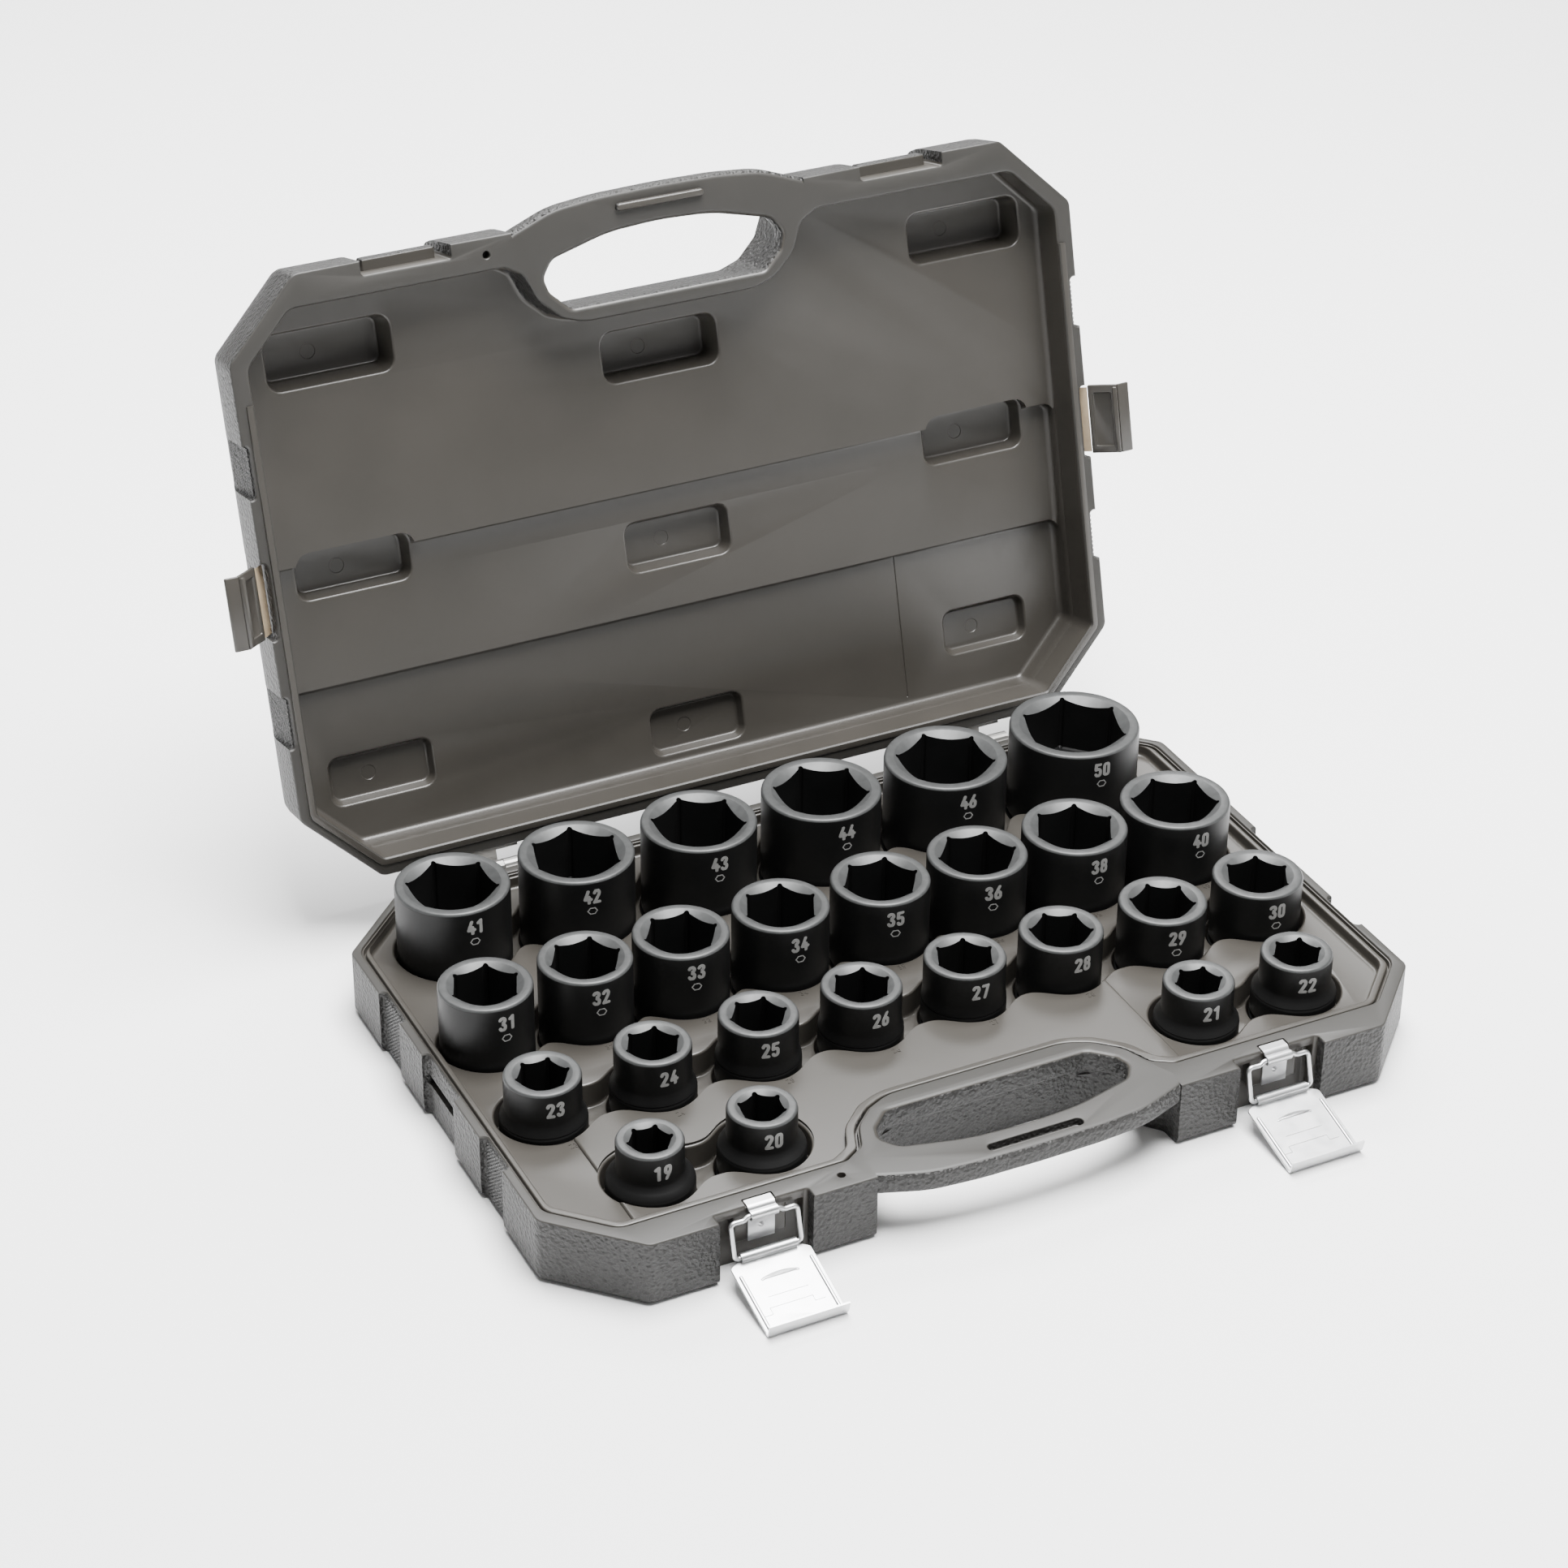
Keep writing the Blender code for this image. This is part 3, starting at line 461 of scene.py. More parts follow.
def base_moulding():
    body = skin([rounded_block(resampled(OUTER, 12), 0, 37, 4.5, 0.9)])
    cut(body, (BAY, [(0, -3), (0, 45)]))
    join(body, rounded_block(GRIP, 25, 37, 3.5, 3.0))
    cut(body, through(HOLE, 25, 37, 2.6))
    cut(body, opening(SLOT, 32.5, 37, 1.0, 0.7),
        opening(circle(-99, -153, 2, 24), 31, 37, 0.5, 0.4))
    notches, seats = [], []
    for s in (-1, 1):
        x = s * 142.5
        notches.append((rectangle(x - 24.5, x + 24.5, -170, -154.5, 1.6),
                        [(0, -3), (0, 35.8), (0.35, 36.6), (1.1, 37.02), (1.1, 40)]))
        seats.append((rectangle(x - 8, x + 8, -162, -149.5, 0.8), [(0, 35.6), (0, 40)]))
    cut(body, *notches)
    for s in (-1, 1):
        x = s * 142.5
        hollow = skin([(rectangle(x - 22.5, x + 22.5, -166, -148.5, 2), [(0, -2), (0, 31.2), (-0.8, 32)])])
        pad = skin([rounded_block(rectangle(x - 14, x + 14, -154.45, -140, 1.5), 16, 40, 1.2, 0.1)])
        combine(body, combine(hollow, pad, "DIFFERENCE"), "DIFFERENCE")
    cut(body, *seats)
    cut(body, *side_seats(0, 37))
    cut(body, *[(rectangle(*sorted((s * 235.5, s * 250)), -18, 23, 1.5),
                 [(-0.8, 19), (0, 19.8), (0, 23.8), (-0.8, 24.6)]) for s in (-1, 1)])
    cut(body, opening(resampled(LAND, 12), 35.6, 37, 0.5, 0.8))
    # narrow groove inside the land that takes the lid's tongue
    ring = skin([(resampled(LAND, 12), [(-1.0, 32.6), (-0.65, 33.1), (-0.65, 36.4)])])
    inner = skin([(resampled(LAND, 12), [(-2.0, 30), (-2.0, 34.7), (-2.1, 35.15), (-2.35, 35.45),
                                         (-2.8, 35.58), (-2.85, 39)])])
    combine(body, combine(ring, inner, "DIFFERENCE"), "DIFFERENCE")
    cut(body, opening(resampled(TRAY, 12), 29.5, 35.6, 2.0, 0.9, 0, 4))
    # the floor between the front pockets stands a little higher
    step = skin([rounded_block(rectangle(-199, 101, -150, -45, 3), 22, 30.9, 0.1, 1.3)])
    combine(step, skin([(resampled(TRAY, 12), [(1.5, 18), (1.5, 40)])]), "INTERSECT")
    combine(body, step, "UNION")
    shapes, pockets = row_openings()
    cut(body, *shapes)
    cut(body, *pockets)
    return body


def finish_case(body, name, turn=None):
    """Merge, mark grained outer faces and flat lands for their darker painted-shade copies of the plastic,
    shade smooth, and put the place in the mesh.
    """
    bm = bmesh.new()
    bm.from_mesh(body.data)
    bmesh.ops.remove_doubles(bm, verts=bm.verts, dist=1e-5)
    bmesh.ops.dissolve_degenerate(bm, edges=bm.edges, dist=1e-5)
    bmesh.ops.recalc_face_normals(bm, faces=bm.faces)
    bm.to_mesh(body.data)
    bm.free()
    mesh = body.data
    mesh.materials.clear()
    for mat in (SMOOTH_CASE, GRAIN_CASE_PAINTED_SHADE, LAND_CASE_PAINTED_SHADE):
        mesh.materials.append(mat)
    closed_z = (0, 37) if turn is None else (RIM, RIM + 43.5)
    for face in mesh.polygons:
        c, n = face.center / MM, face.normal
        edge = (abs(c.x) > 238.5 or abs(c.y) > 157 or abs(c.x) + abs(c.y) > 360
                or (abs(c.x) < 85 and c.y < -112.5))
        outer_face = c.z < 1 if turn is None else c.z > closed_z[1] - 1
        side = abs(n.z) < 0.75 and edge
        parting = abs(c.z - 37.1) < 0.6
        flat_land = parting and abs(n.z) > 0.5
        # grained sides and flat lands take the darker copies of the same plastic: painted shade
        face.material_index = 2 if flat_land else int((side or outer_face) and not parting)
    if turn:
        mesh.transform(turn)
    mesh.shade_smooth()
    mesh.set_sharp_from_angle(angle=radians(38))
    body.name = name
    mesh.name = name
    return body


def lid_moulding():
    top = RIM + 43.5
    levels = ((0.9, 0), (0.5, 0.15), (0.1, 0.5), (0, 1), (0.8, 24), (1.6, 31), (3.2, 37),
              (4.6, 40), (6.6, 42.2), (8.4, 43.2), (10.5, 43.5))
    body = layered([(rounded(octagon(243 - i, 162 - i, 162 - i, 365 - 1.414 * i, 365 - 1.414 * i), 7),
                     RIM + z) for i, z in levels])
    cut(body, (BAY, [(0, RIM - 3), (0, top + 5)]))
    join(body, rounded_block(GRIP, RIM, RIM + 12, 3.0, 3.5))
    cut(body, through(HOLE, RIM, RIM + 12, 2.6))
    join(body, (rounded(rectangle(-25, 25, -167, -163, 1.9), 0.1, 1),
                [(-0.8, RIM - 3), (-0.2, RIM - 2.6), (0, RIM - 2), (0, RIM + 2)]))
    cut(body, opening_down(resampled(LID_IN, 12), RIM, 22.5, 3.0, 1.6))
    for start, depth in ((-7, 29.5), (62, 34.0)):
        zone = mirrored([(233, start)] + octagon(233, 0, 151.7, 233, 354)[2:4])
        cut(body, opening_down(resampled(rounded(zone, 6), 12), RIM + 3, depth - 3, 3.0, 0))
    pockets, marks = [], []
    for x0, x1, y0, y1, start in KISS:
        deep = KISS_FLOOR - start
        draft = 0.08 * deep
        pockets.append(opening_down(rectangle(x0 + draft, x1 - draft, y0 + draft, y1 - draft, 5),
                                    RIM + start, deep, 1.6, 1.5, draft + 0.7, 9))
        marks.append((circle((x0 + x1) / 2 - 6, (y0 + y1) / 2, 4.2, 32),
                      [(0, RIM + KISS_FLOOR - 1), (0, RIM + KISS_FLOOR), (-0.3, RIM + KISS_FLOOR + 0.3)]))
    cut(body, *pockets)
    cut(body, *marks)
    # parting line of a mould insert in the rear zone
    cut(body, (rectangle(129.6, 130.4, 64, 147, 0.1), [(0, RIM + 33), (0, RIM + 34.05), (-0.3, RIM + 34.4)]))
    ring = octagon(238, 144, 156.5, 354.5, 359.5)
    tongue = skin([(resampled(rounded(ring, 7.6), 12),
                    [(-1.0, RIM - 1.1), (-0.6, RIM - 0.9), (-0.4, RIM - 0.4), (-0.4, RIM + 1)])])
    cut(tongue, (rounded(ring, 7.6), [(-3.6, RIM - 3), (-3.6, RIM - 1.12), (-4.4, RIM - 0.3),
                                      (-4.4, RIM + 3)]))
    cut(tongue, (rectangle(-243, 243, -170, -100, 1), [(0, RIM - 5), (0, RIM + 5)]))
    combine(body, tongue, "UNION")
    for s in (-1, 1):
        x = s * 142.5
        cut(body, (rectangle(x - 24.5, x + 24.5, -170, -154.5, 1.6),
                   [(1.1, RIM - 3), (1.1, RIM), (0.35, RIM + 0.4), (0, RIM + 1.2), (0, top + 3)]))
        join(body, rounded_block(rectangle(x - 20, x + 20, -160.5, -152.5, 1.2),
                                 RIM + 12, RIM + 20.3, 1.0, 0.8))
    cut(body, *side_seats(RIM, top))
    cut(body, (circle(-99, -153, 2, 24), [(0.4, RIM - 1), (0.4, RIM), (0, RIM + 0.4), (0, RIM + 6)]))
    return body


# pockets where the two skins meet: x0, x1, y0, y1, depth of the floor they start in
KISS_FLOOR = 39.5
KISS = (
    (-217, -149.5, -128, -100, 22.5), (-33, 33, -95, -69, 22.5), (154, 221, -126, -100, 22.5),
    (-216, -154, -11, 13, 29.5), (-30, 30, 12, 38, 29.5), (154.5, 214.5, -11, 15, 29.5),
    (-213, -156, 104, 129, 34), (-27, 27, 120, 145, 34), (158, 208, 104, 128, 34),
)


def opening_down(outline, mouth, depth, floor_r, rim_r, draft=0.0, over=2.0):
    """The same cutter turned over, sunk upward from the lid's parting plane."""
    line, profile = opening(outline, -depth, 0, floor_r, rim_r, draft, over)
    return line, [(off, mouth - z) for off, z in reversed(profile)]


base = finish_case(base_moulding(), "base_moulding")
lid = finish_case(lid_moulding(), "lid_moulding", OPEN)
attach(base, "case")
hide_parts("base_case")
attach(lid, "lid")
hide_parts("lid_case")


# ------------------------------------------------------------ sockets
def phosphate_black():
    """Manganese phosphate on forged steel: near black, fine tooth, oily half-gloss."""
    mat, tree, shader = new_material("steel_black_phosphate")
    place = node(tree, "ShaderNodeTexCoord").outputs["Object"]
    tooth = node(tree, "ShaderNodeTexNoise", Vector=place, Scale=1400.0, Detail=2.0)
    patch = node(tree, "ShaderNodeTexNoise", Vector=place, Scale=45.0, Detail=4.0)
    tint = node(tree, "ShaderNodeMix", {"data_type": "RGBA"}, Factor=patch.outputs[0])
    tint.inputs[6].default_value = srgb("#0b0b0b")
    tint.inputs[7].default_value = srgb("#131313")
    tree.links.new(tint.outputs[2], shader.inputs["Base Color"])
    rough = node(tree, "ShaderNodeMapRange", Value=patch.outputs[0])
    rough.inputs["To Min"].default_value = 0.36
    rough.inputs["To Max"].default_value = 0.5
    shader.inputs["Specular IOR Level"].default_value = 0.26
    tree.links.new(rough.outputs[0], shader.inputs["Roughness"])
    bump = node(tree, "ShaderNodeBump", Height=tooth.outputs[0], Strength=0.12, Distance=0.0001)
    tree.links.new(bump.outputs[0], shader.inputs["Normal"])
    return mat


def phosphate_rim():
    """Upward-facing end face: mid grey, partly turned steel and partly painted reflection of the bright
    surroundings; brighter patches where the tool left it smooth.
    """
    mat, tree, shader = new_material("steel_turned_rim_painted_reflection")
    place = node(tree, "ShaderNodeTexCoord").outputs["Object"]
    patch = node(tree, "ShaderNodeTexNoise", Vector=place, Scale=260.0, Detail=5.0)
    tint = node(tree, "ShaderNodeMix", {"data_type": "RGBA"}, Factor=patch.outputs[0])
    tint.inputs[6].default_value = srgb("#333434")
    tint.inputs[7].default_value = srgb("#4b4c4c")
    tree.links.new(tint.outputs[2], shader.inputs["Base Color"])
    shader.inputs["Metallic"].default_value = 0.35
    shader.inputs["Roughness"].default_value = 0.45
    bump = node(tree, "ShaderNodeBump", Height=patch.outputs[0], Strength=0.15, Distance=0.0001)
    tree.links.new(bump.outputs[0], shader.inputs["Normal"])
    return mat


def etched_mark():
    """Laser etching: the coating burnt off to dull pale grey steel."""
    mat, tree, shader = new_material("steel_laser_etched")
    place = node(tree, "ShaderNodeTexCoord").outputs["Object"]
    patch = node(tree, "ShaderNodeTexNoise", Vector=place, Scale=700.0, Detail=3.0)
    tint = node(tree, "ShaderNodeMix", {"data_type": "RGBA"}, Factor=patch.outputs[0])
    tint.inputs[6].default_value = srgb("#7f7f7d")
    tint.inputs[7].default_value = srgb("#a3a3a1")
    tree.links.new(tint.outputs[2], shader.inputs["Base Color"])
    shader.inputs["Roughness"].default_value = 0.6
    return mat


PHOSPHATE = phosphate_black()
RIM_STEEL_PAINTED_REFLECTION = phosphate_rim()
ETCHED = etched_mark()


def bend(cx, cy, r, first, last, count=8):
    return [(cx + r * cos(radians(first + (last - first) * k / count)),
             cy + r * sin(radians(first + (last - first) * k / count))) for k in range(count + 1)]


def loop(x0, x1, y0, y1, r):
    return (bend(x1 - r, y0 + r, r, -90, 0) + bend(x1 - r, y1 - r, r, 0, 90)
            + bend(x0 + r, y1 - r, r, 90, 180) + bend(x0 + r, y0 + r, r, 180, 270)
            + [(x1 - r, y0)])


# centre lines of plain narrow figures, 2.6 wide and 7 high
TOP = bend(1.3, 5.7, 1.3, 180, 0)
FIGURES = {
    "0": [loop(0, 2.6, 0, 7, 1.3)],
    "1": [[(0.2, 5.7), (1.7, 7), (1.7, 0)]],
    "2": [TOP + [(2.6, 5.2), (2.3, 4.2), (0, 0), (2.75, 0)]],
    "3": [bend(1.3, 5.6, 1.3, 165, -75), bend(1.3, 1.9, 1.35, 80, 0) + bend(1.3, 1.3, 1.3, 0, -165)],
    "4": [[(1.7, 7), (0, 2.1), (3.2, 2.1)], [(2.1, 3.6), (2.1, 0)]],
    "5": [[(2.5, 7), (0.15, 7), (0, 3.9)] + bend(1.3, 2.9, 1.3, 125, 0)
          + bend(1.3, 1.3, 1.3, 0, -165)],
    "6": [loop(0, 2.6, 0, 3.9, 1.3), [(0, 2.2), (0.3, 3.6), (2, 7)]],
    "7": [[(0, 7), (2.7, 7), (1, 0)]],
    "8": [loop(0, 2.6, 0, 3.7, 1.25), loop(0.1, 2.5, 3.7, 7, 1.2)],
    "9": [loop(0, 2.6, 3.1, 7, 1.3), [(2.6, 4.8), (2.3, 3.4), (0.6, 0)]],
}


def numeral(text, height, depth, weight=1.75):
    """Solid numerals in the XY plane, centred, in millimetres."""
    runs, left = [], 0.0
    for figure in text:
        for line in FIGURES[figure]:
            runs += [((ax + left, ay), (bx + left, by))
                     for (ax, ay), (bx, by) in zip(line, line[1:])]
        left += 5.0

    def field(x, y):
        best = None
        for (ax, ay), (bx, by) in runs:
            ux, uy = bx - ax, by - ay
            long = max(ux * ux + uy * uy, 1e-9)
            t = np.clip(((x - ax) * ux + (y - ay) * uy) / long, 0, 1)
            d = np.hypot(x - ax - ux * t, y - ay - uy * t)
            best = d if best is None else np.minimum(best, d)
        return np.maximum(best - weight / 2, np.abs(y - 3.5) - 3.5 - weight * 0.42)

    bm = bmesh.new()
    edges = []
    for line in contour(field, -2, left + 2, -2, 9, 0.16):
        ring = [bm.verts.new((x, y, -depth / 2)) for x, y in even(line, 0.34)]
        edges += [bm.edges.new((a, b)) for a, b in zip(ring, ring[1:] + ring[:1])]
    bmesh.ops.triangle_fill(bm, edges=edges, use_beauty=True)
    grown = bmesh.ops.extrude_face_region(bm, geom=bm.faces[:], use_keep_orig=True)
    for item in grown["geom"]:
        if isinstance(item, bmesh.types.BMVert):
            item.co.z = depth / 2
    bmesh.ops.recalc_face_normals(bm, faces=bm.faces)
    xs = [v.co.x for v in bm.verts]
    size = height / 8.5
    for v in bm.verts:
        v.co = Vector(((v.co.x - (min(xs) + max(xs)) / 2) * size, (v.co.y - 3.5) * size, v.co.z))
    return bm


def hexagon_mark(width, depth):
    """Small plain hexagon outline, as a solid ring."""
    bm = bmesh.new()
    rings = []
    for r in (width / 2, width / 2 - 0.55):
        for z in (-depth / 2, depth / 2):
            rings.append([bm.verts.new((r * cos(k * pi / 3) * 1.25, r * sin(k * pi / 3), z))
                          for k in range(6)])
    low_out, high_out, low_in, high_in = rings
    for a, b in ((low_out, high_out), (high_out, high_in), (high_in, low_in), (low_in, low_out)):
        for i in range(6):
            j = (i + 1) % 6
            bm.faces.new((a[i], a[j], b[j], b[i]))
    return bm


def wrapped(bm, radius, height, turn):
    """Bend a flat mark round a cylinder, its middle at the given height and angle."""
    xs = [v.co.x for v in bm.verts]
    for x in np.arange(min(xs) + 0.5, max(xs), 0.7):
        bmesh.ops.bisect_plane(bm, geom=bm.verts[:] + bm.edges[:] + bm.faces[:], dist=1e-5,
                               plane_co=(x, 0, 0), plane_no=(1, 0, 0))
    for v in bm.verts:
        a = turn + v.co.x / radius
        r = radius + v.co.z
        v.co = Vector((r * cos(a), r * sin(a), height + v.co.y))
    return bm


def bore_outline(across):
    """Hexagon whose corners are relieved with small round pockets."""
    corner = across / 2 / cos(pi / 6)
    reach, relief = corner - 1.0, 1.45
    spread = relief / reach
    out = []
    for k in range(6):
        middle = k * pi / 3
        steps = [middle + spread * 1.4 * t for t in np.linspace(-1, 1, 17)]
        gap = pi / 3 - 2.8 * spread
        steps += [steps[-1] + gap * t for t in (0.25, 0.5, 0.75)]
        for a in steps:
            off = (a + pi / 6) % (pi / 3) - pi / 6
            face = (a % (pi / 3)) - pi / 6
            r = across / 2 / cos(face)
            if abs(reach * sin(off)) < relief:
                r = max(r, reach * cos(off) + (relief ** 2 - (reach * sin(off)) ** 2) ** 0.5)
            out.append((r * cos(a), r * sin(a)))
    return out


def turned(profile, steps=96):
    """Solid of revolution through (radius, z) points listed from the bottom up."""
    verts, faces = [], []
    for r, z in profile:
        verts += [(r * cos(2 * pi * k / steps), r * sin(2 * pi * k / steps), z)
                  for k in range(steps)]
    for i in range(len(profile) - 1):
        a, b = i * steps, (i + 1) * steps
        faces += [(a + k, a + (k + 1) % steps, b + (k + 1) % steps, b + k) for k in range(steps)]
    faces.append(tuple(range(steps - 1, -1, -1)))
    faces.append(tuple(range(len(verts) - steps, len(verts))))
    return mesh_object("turned", verts, faces)


# angle of each socket's numerals, and of one corner of its hexagon, in degrees
TURNS = {19: (-92, 52), 20: (-96, 23), 21: (-99, 48), 22: (-103, 51), 23: (-94, 55),
         24: (-89, 2), 25: (-98, 54), 26: (-88, 1), 27: (-95, 6), 28: (-88, 34), 29: (-100, 28),
         30: (-95, 2), 31: (-87, 7), 32: (-94, 59), 33: (-96, 56), 34: (-92, 5), 35: (-99, 56),
         36: (-99, 49), 38: (-91, 1), 40: (-92, 31), 41: (-90, 33), 42: (-98, 15), 43: (-94, 31),
         44: (-91, 30), 46: (-96, 29), 50: (-94, 14)}


def impact_socket(size, x, y, nose, length):
    across = size + 0.3
    corner = across / 2 / cos(pi / 6)
    mouth = min(corner + 1.35, nose / 2 - 2.2)
    slope = tan(radians(33))
    depth = min(0.5 * length, 0.75 * size + 8)
    drive = DRIVE_OD if nose < 43.5 else nose
    r, d = nose / 2, drive / 2
    profile = [(d - 1.6, 0), (d - 1.0, 0.25), (d - 0.3, 0.9), (d, 1.8)]
    groove = 12.0
    profile += [(d, groove - 2.2), (d - 0.25, groove - 1.95), (d - 1.5, groove - 1.6),
                (d - 1.9, groove - 0.9), (d - 1.9, groove + 0.9), (d - 1.5, groove + 1.6),
                (d - 0.25, groove + 1.95), (d, groove + 2.2)]
    if drive > nose:
        step = d - r
        profile += [(d, 25.2), (d - 0.12, 25.8), (d - 0.5, 26.5)]
        profile += [(d - step * (0.12 + 0.8 * t), 27 + 4.6 * t) for t in (0, 0.5, 1)]
        profile += [(r + 0.02 * step, 32.6), (r, 33.6)]
    profile += [(r, length - 1.7), (r - 0.1, length - 1.25), (r - 0.5, length - 0.5),
                (r - 1.0, length - 0.12), (r - 1.5, length)]
    profile += [(mouth + 0.15, length), (mouth - 0.15, length - 0.12),
                (across / 2 - 0.8, length - 0.12 - (mouth - across / 2 + 0.65) * slope)]
    body = turned(profile)
    turn, corner_turn = TURNS[size]
    c, s = cos(radians(corner_turn)), sin(radians(corner_turn))
    hole = [(px * c - py * s, px * s + py * c) for px, py in bore_outline(across)]
    cut(body, (hole, [(-0.9, length - depth), (0, length - depth + 0.9), (0, length + 4)]))
    h = 19.05 / 2
    square = rounded([(px * c - py * s, px * s + py * c)
                      for px, py in ((-h, -h), (h, -h), (h, h), (-h, h))], 0.8, 2)
    cut(body, (square, [(1.0, -2), (1.0, -0.02), (0, 1), (0, length - depth + 1)]))
    pin = skin([(circle(0, 0, 2.4, 24), [(0, -d - 3), (0, d + 3)])])
    pin.data.transform(Matrix.Translation((0, 0, groove * MM)) @ Matrix.Rotation(pi / 2, 4, "X"))
    combine(body, pin, "DIFFERENCE")
    mesh = body.data
    mesh.materials.clear()
    for mat in (PHOSPHATE, RIM_STEEL_PAINTED_REFLECTION, ETCHED):
        mesh.materials.append(mat)
    # upward-facing faces near the top take the grey rim material: partly turned steel, partly painted
    # reflection
    for face in mesh.polygons:
        z = face.center.z / MM
        away = Vector(face.center.xy).length / MM
        sloped = face.normal.z > 0.3
        face.material_index = 1 if z > length - 6 and sloped and away > across / 2 - 1 else 0
    bm = bmesh.new()
    bm.from_mesh(mesh)
    bmesh.ops.remove_doubles(bm, verts=bm.verts, dist=1e-5)
    marks = [wrapped(numeral(str(size), 8.6, 0.16), r, length - 9.3, radians(turn))]
    if size >= 29:
        marks.append(wrapped(hexagon_mark(4.6, 0.16), r, length - 18, radians(turn)))
    for mark in marks:
        scratch = bpy.data.meshes.new("mark")
        mark.transform(Matrix.Scale(MM, 4))
        for face in mark.faces:
            face.material_index = 2
        mark.to_mesh(scratch)
        mark.free()
        bm.from_mesh(scratch)
        bpy.data.meshes.remove(scratch)
    bm.to_mesh(mesh)
    bm.free()
    mesh.shade_smooth()
    mesh.set_sharp_from_angle(angle=radians(32))
    mesh.transform(Matrix.Translation(Vector((x, y, 3.3)) * MM))
    body.name = "impact_socket_%d" % size
    return body


for row_y, length, _, row in ROWS:
    for size, x, nose in row:
        piece = impact_socket(size, x, row_y, nose, length)
        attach(piece, "socket_%d" % size)
        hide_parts("socket_%dmm" % size)


# ------------------------------------------------------------ trim materials
def zinc_plate():
    """Bright zinc on pressed sheet: cool silver with soft stains and faint roll lines."""
    mat, tree, shader = new_material("steel_bright_zinc")
    place = node(tree, "ShaderNodeTexCoord").outputs["Object"]
    patch = node(tree, "ShaderNodeTexNoise", Vector=place, Scale=160.0, Detail=4.0)
    tint = node(tree, "ShaderNodeMix", {"data_type": "RGBA"}, Factor=patch.outputs[0])
    tint.inputs[6].default_value = srgb("#bcbdbf")
    tint.inputs[7].default_value = srgb("#d2d2d2")
    tree.links.new(tint.outputs[2], shader.inputs["Base Color"])
    rough = node(tree, "ShaderNodeMapRange", Value=patch.outputs[0])
    rough.inputs["To Min"].default_value = 0.26
    rough.inputs["To Max"].default_value = 0.42
    tree.links.new(rough.outputs[0], shader.inputs["Roughness"])
    shader.inputs["Metallic"].default_value = 1.0
    bump = node(tree, "ShaderNodeBump", Height=patch.outputs[0], Strength=0.08, Distance=0.0002)
    tree.links.new(bump.outputs[0], shader.inputs["Normal"])
    return mat


def hinge_steel():
    """Cold-rolled hinge steel: dull mid grey with fine drawing lines."""
    mat, tree, shader = new_material("steel_hinge_dull")
    place = node(tree, "ShaderNodeTexCoord").outputs["Object"]
    lines = node(tree, "ShaderNodeMapping", Vector=place)
    lines.inputs["Scale"].default_value = (20, 900, 900)
    grain = node(tree, "ShaderNodeTexNoise", Vector=lines.outputs[0], Scale=1.0, Detail=3.0)
    tint = node(tree, "ShaderNodeMix", {"data_type": "RGBA"}, Factor=grain.outputs[0])
    tint.inputs[6].default_value = srgb("#7c7b79")
    tint.inputs[7].default_value = srgb("#9c9b98")
    tree.links.new(tint.outputs[2], shader.inputs["Base Color"])
    shader.inputs["Metallic"].default_value = 0.9
    shader.inputs["Roughness"].default_value = 0.4
    return mat


def hinge_strip():
    """Thin natural polypropylene web: pale tan, letting a little light through."""
    mat, tree, shader = new_material("polypropylene_thin_web")
    place = node(tree, "ShaderNodeTexCoord").outputs["Object"]
    cloud = node(tree, "ShaderNodeTexNoise", Vector=place, Scale=240.0, Detail=3.0)
    tint = node(tree, "ShaderNodeMix", {"data_type": "RGBA"}, Factor=cloud.outputs[0])
    tint.inputs[6].default_value = srgb("#8d7c66")
    tint.inputs[7].default_value = srgb("#a8977e")
    tree.links.new(tint.outputs[2], shader.inputs["Base Color"])
    shader.inputs["Roughness"].default_value = 0.45
    shader.inputs["Transmission Weight"].default_value = 0.15
    return mat


ZINC = zinc_plate()
HINGE_STEEL = hinge_steel()
WEB = hinge_strip()


def settle(obj, name, materials, body, angle=35, turn=None):
    """Clean, material, shading and place of one finished piece, then its body."""
    bm = bmesh.new()
    bm.from_mesh(obj.data)
    bmesh.ops.remove_doubles(bm, verts=bm.verts, dist=1e-6)
    bmesh.ops.recalc_face_normals(bm, faces=bm.faces)
    bm.to_mesh(obj.data)
    bm.free()
    obj.data.materials.clear()
    for mat in materials:
        obj.data.materials.append(mat)
    if turn:
        obj.data.transform(turn)
    obj.data.shade_smooth()
    obj.data.set_sharp_from_angle(angle=radians(angle))
    obj.name = obj.data.name = name
    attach(obj, body)
    return obj


def side_profile(points, x0, x1):
    """Outline in the YZ plane carried along X."""
    flat = points if area(points) > 0 else points[::-1]
    obj = skin([(flat, [(0, x0), (0, x1)])])
    obj.data.transform(Matrix(((0, 0, 1, 0), (1, 0, 0, 0), (0, 1, 0, 0), (0, 0, 0, 1))))
    return obj


def sheet(path, thick):
    """Outline of bent sheet of even thickness along a middle line."""
    p = np.array(path, float)
    t = np.gradient(p, axis=0)
    t /= np.linalg.norm(t, axis=1)[:, None]
    n = np.stack([-t[:, 1], t[:, 0]], 1) * thick / 2
    return [tuple(q) for q in p + n] + [tuple(q) for q in (p - n)[::-1]]


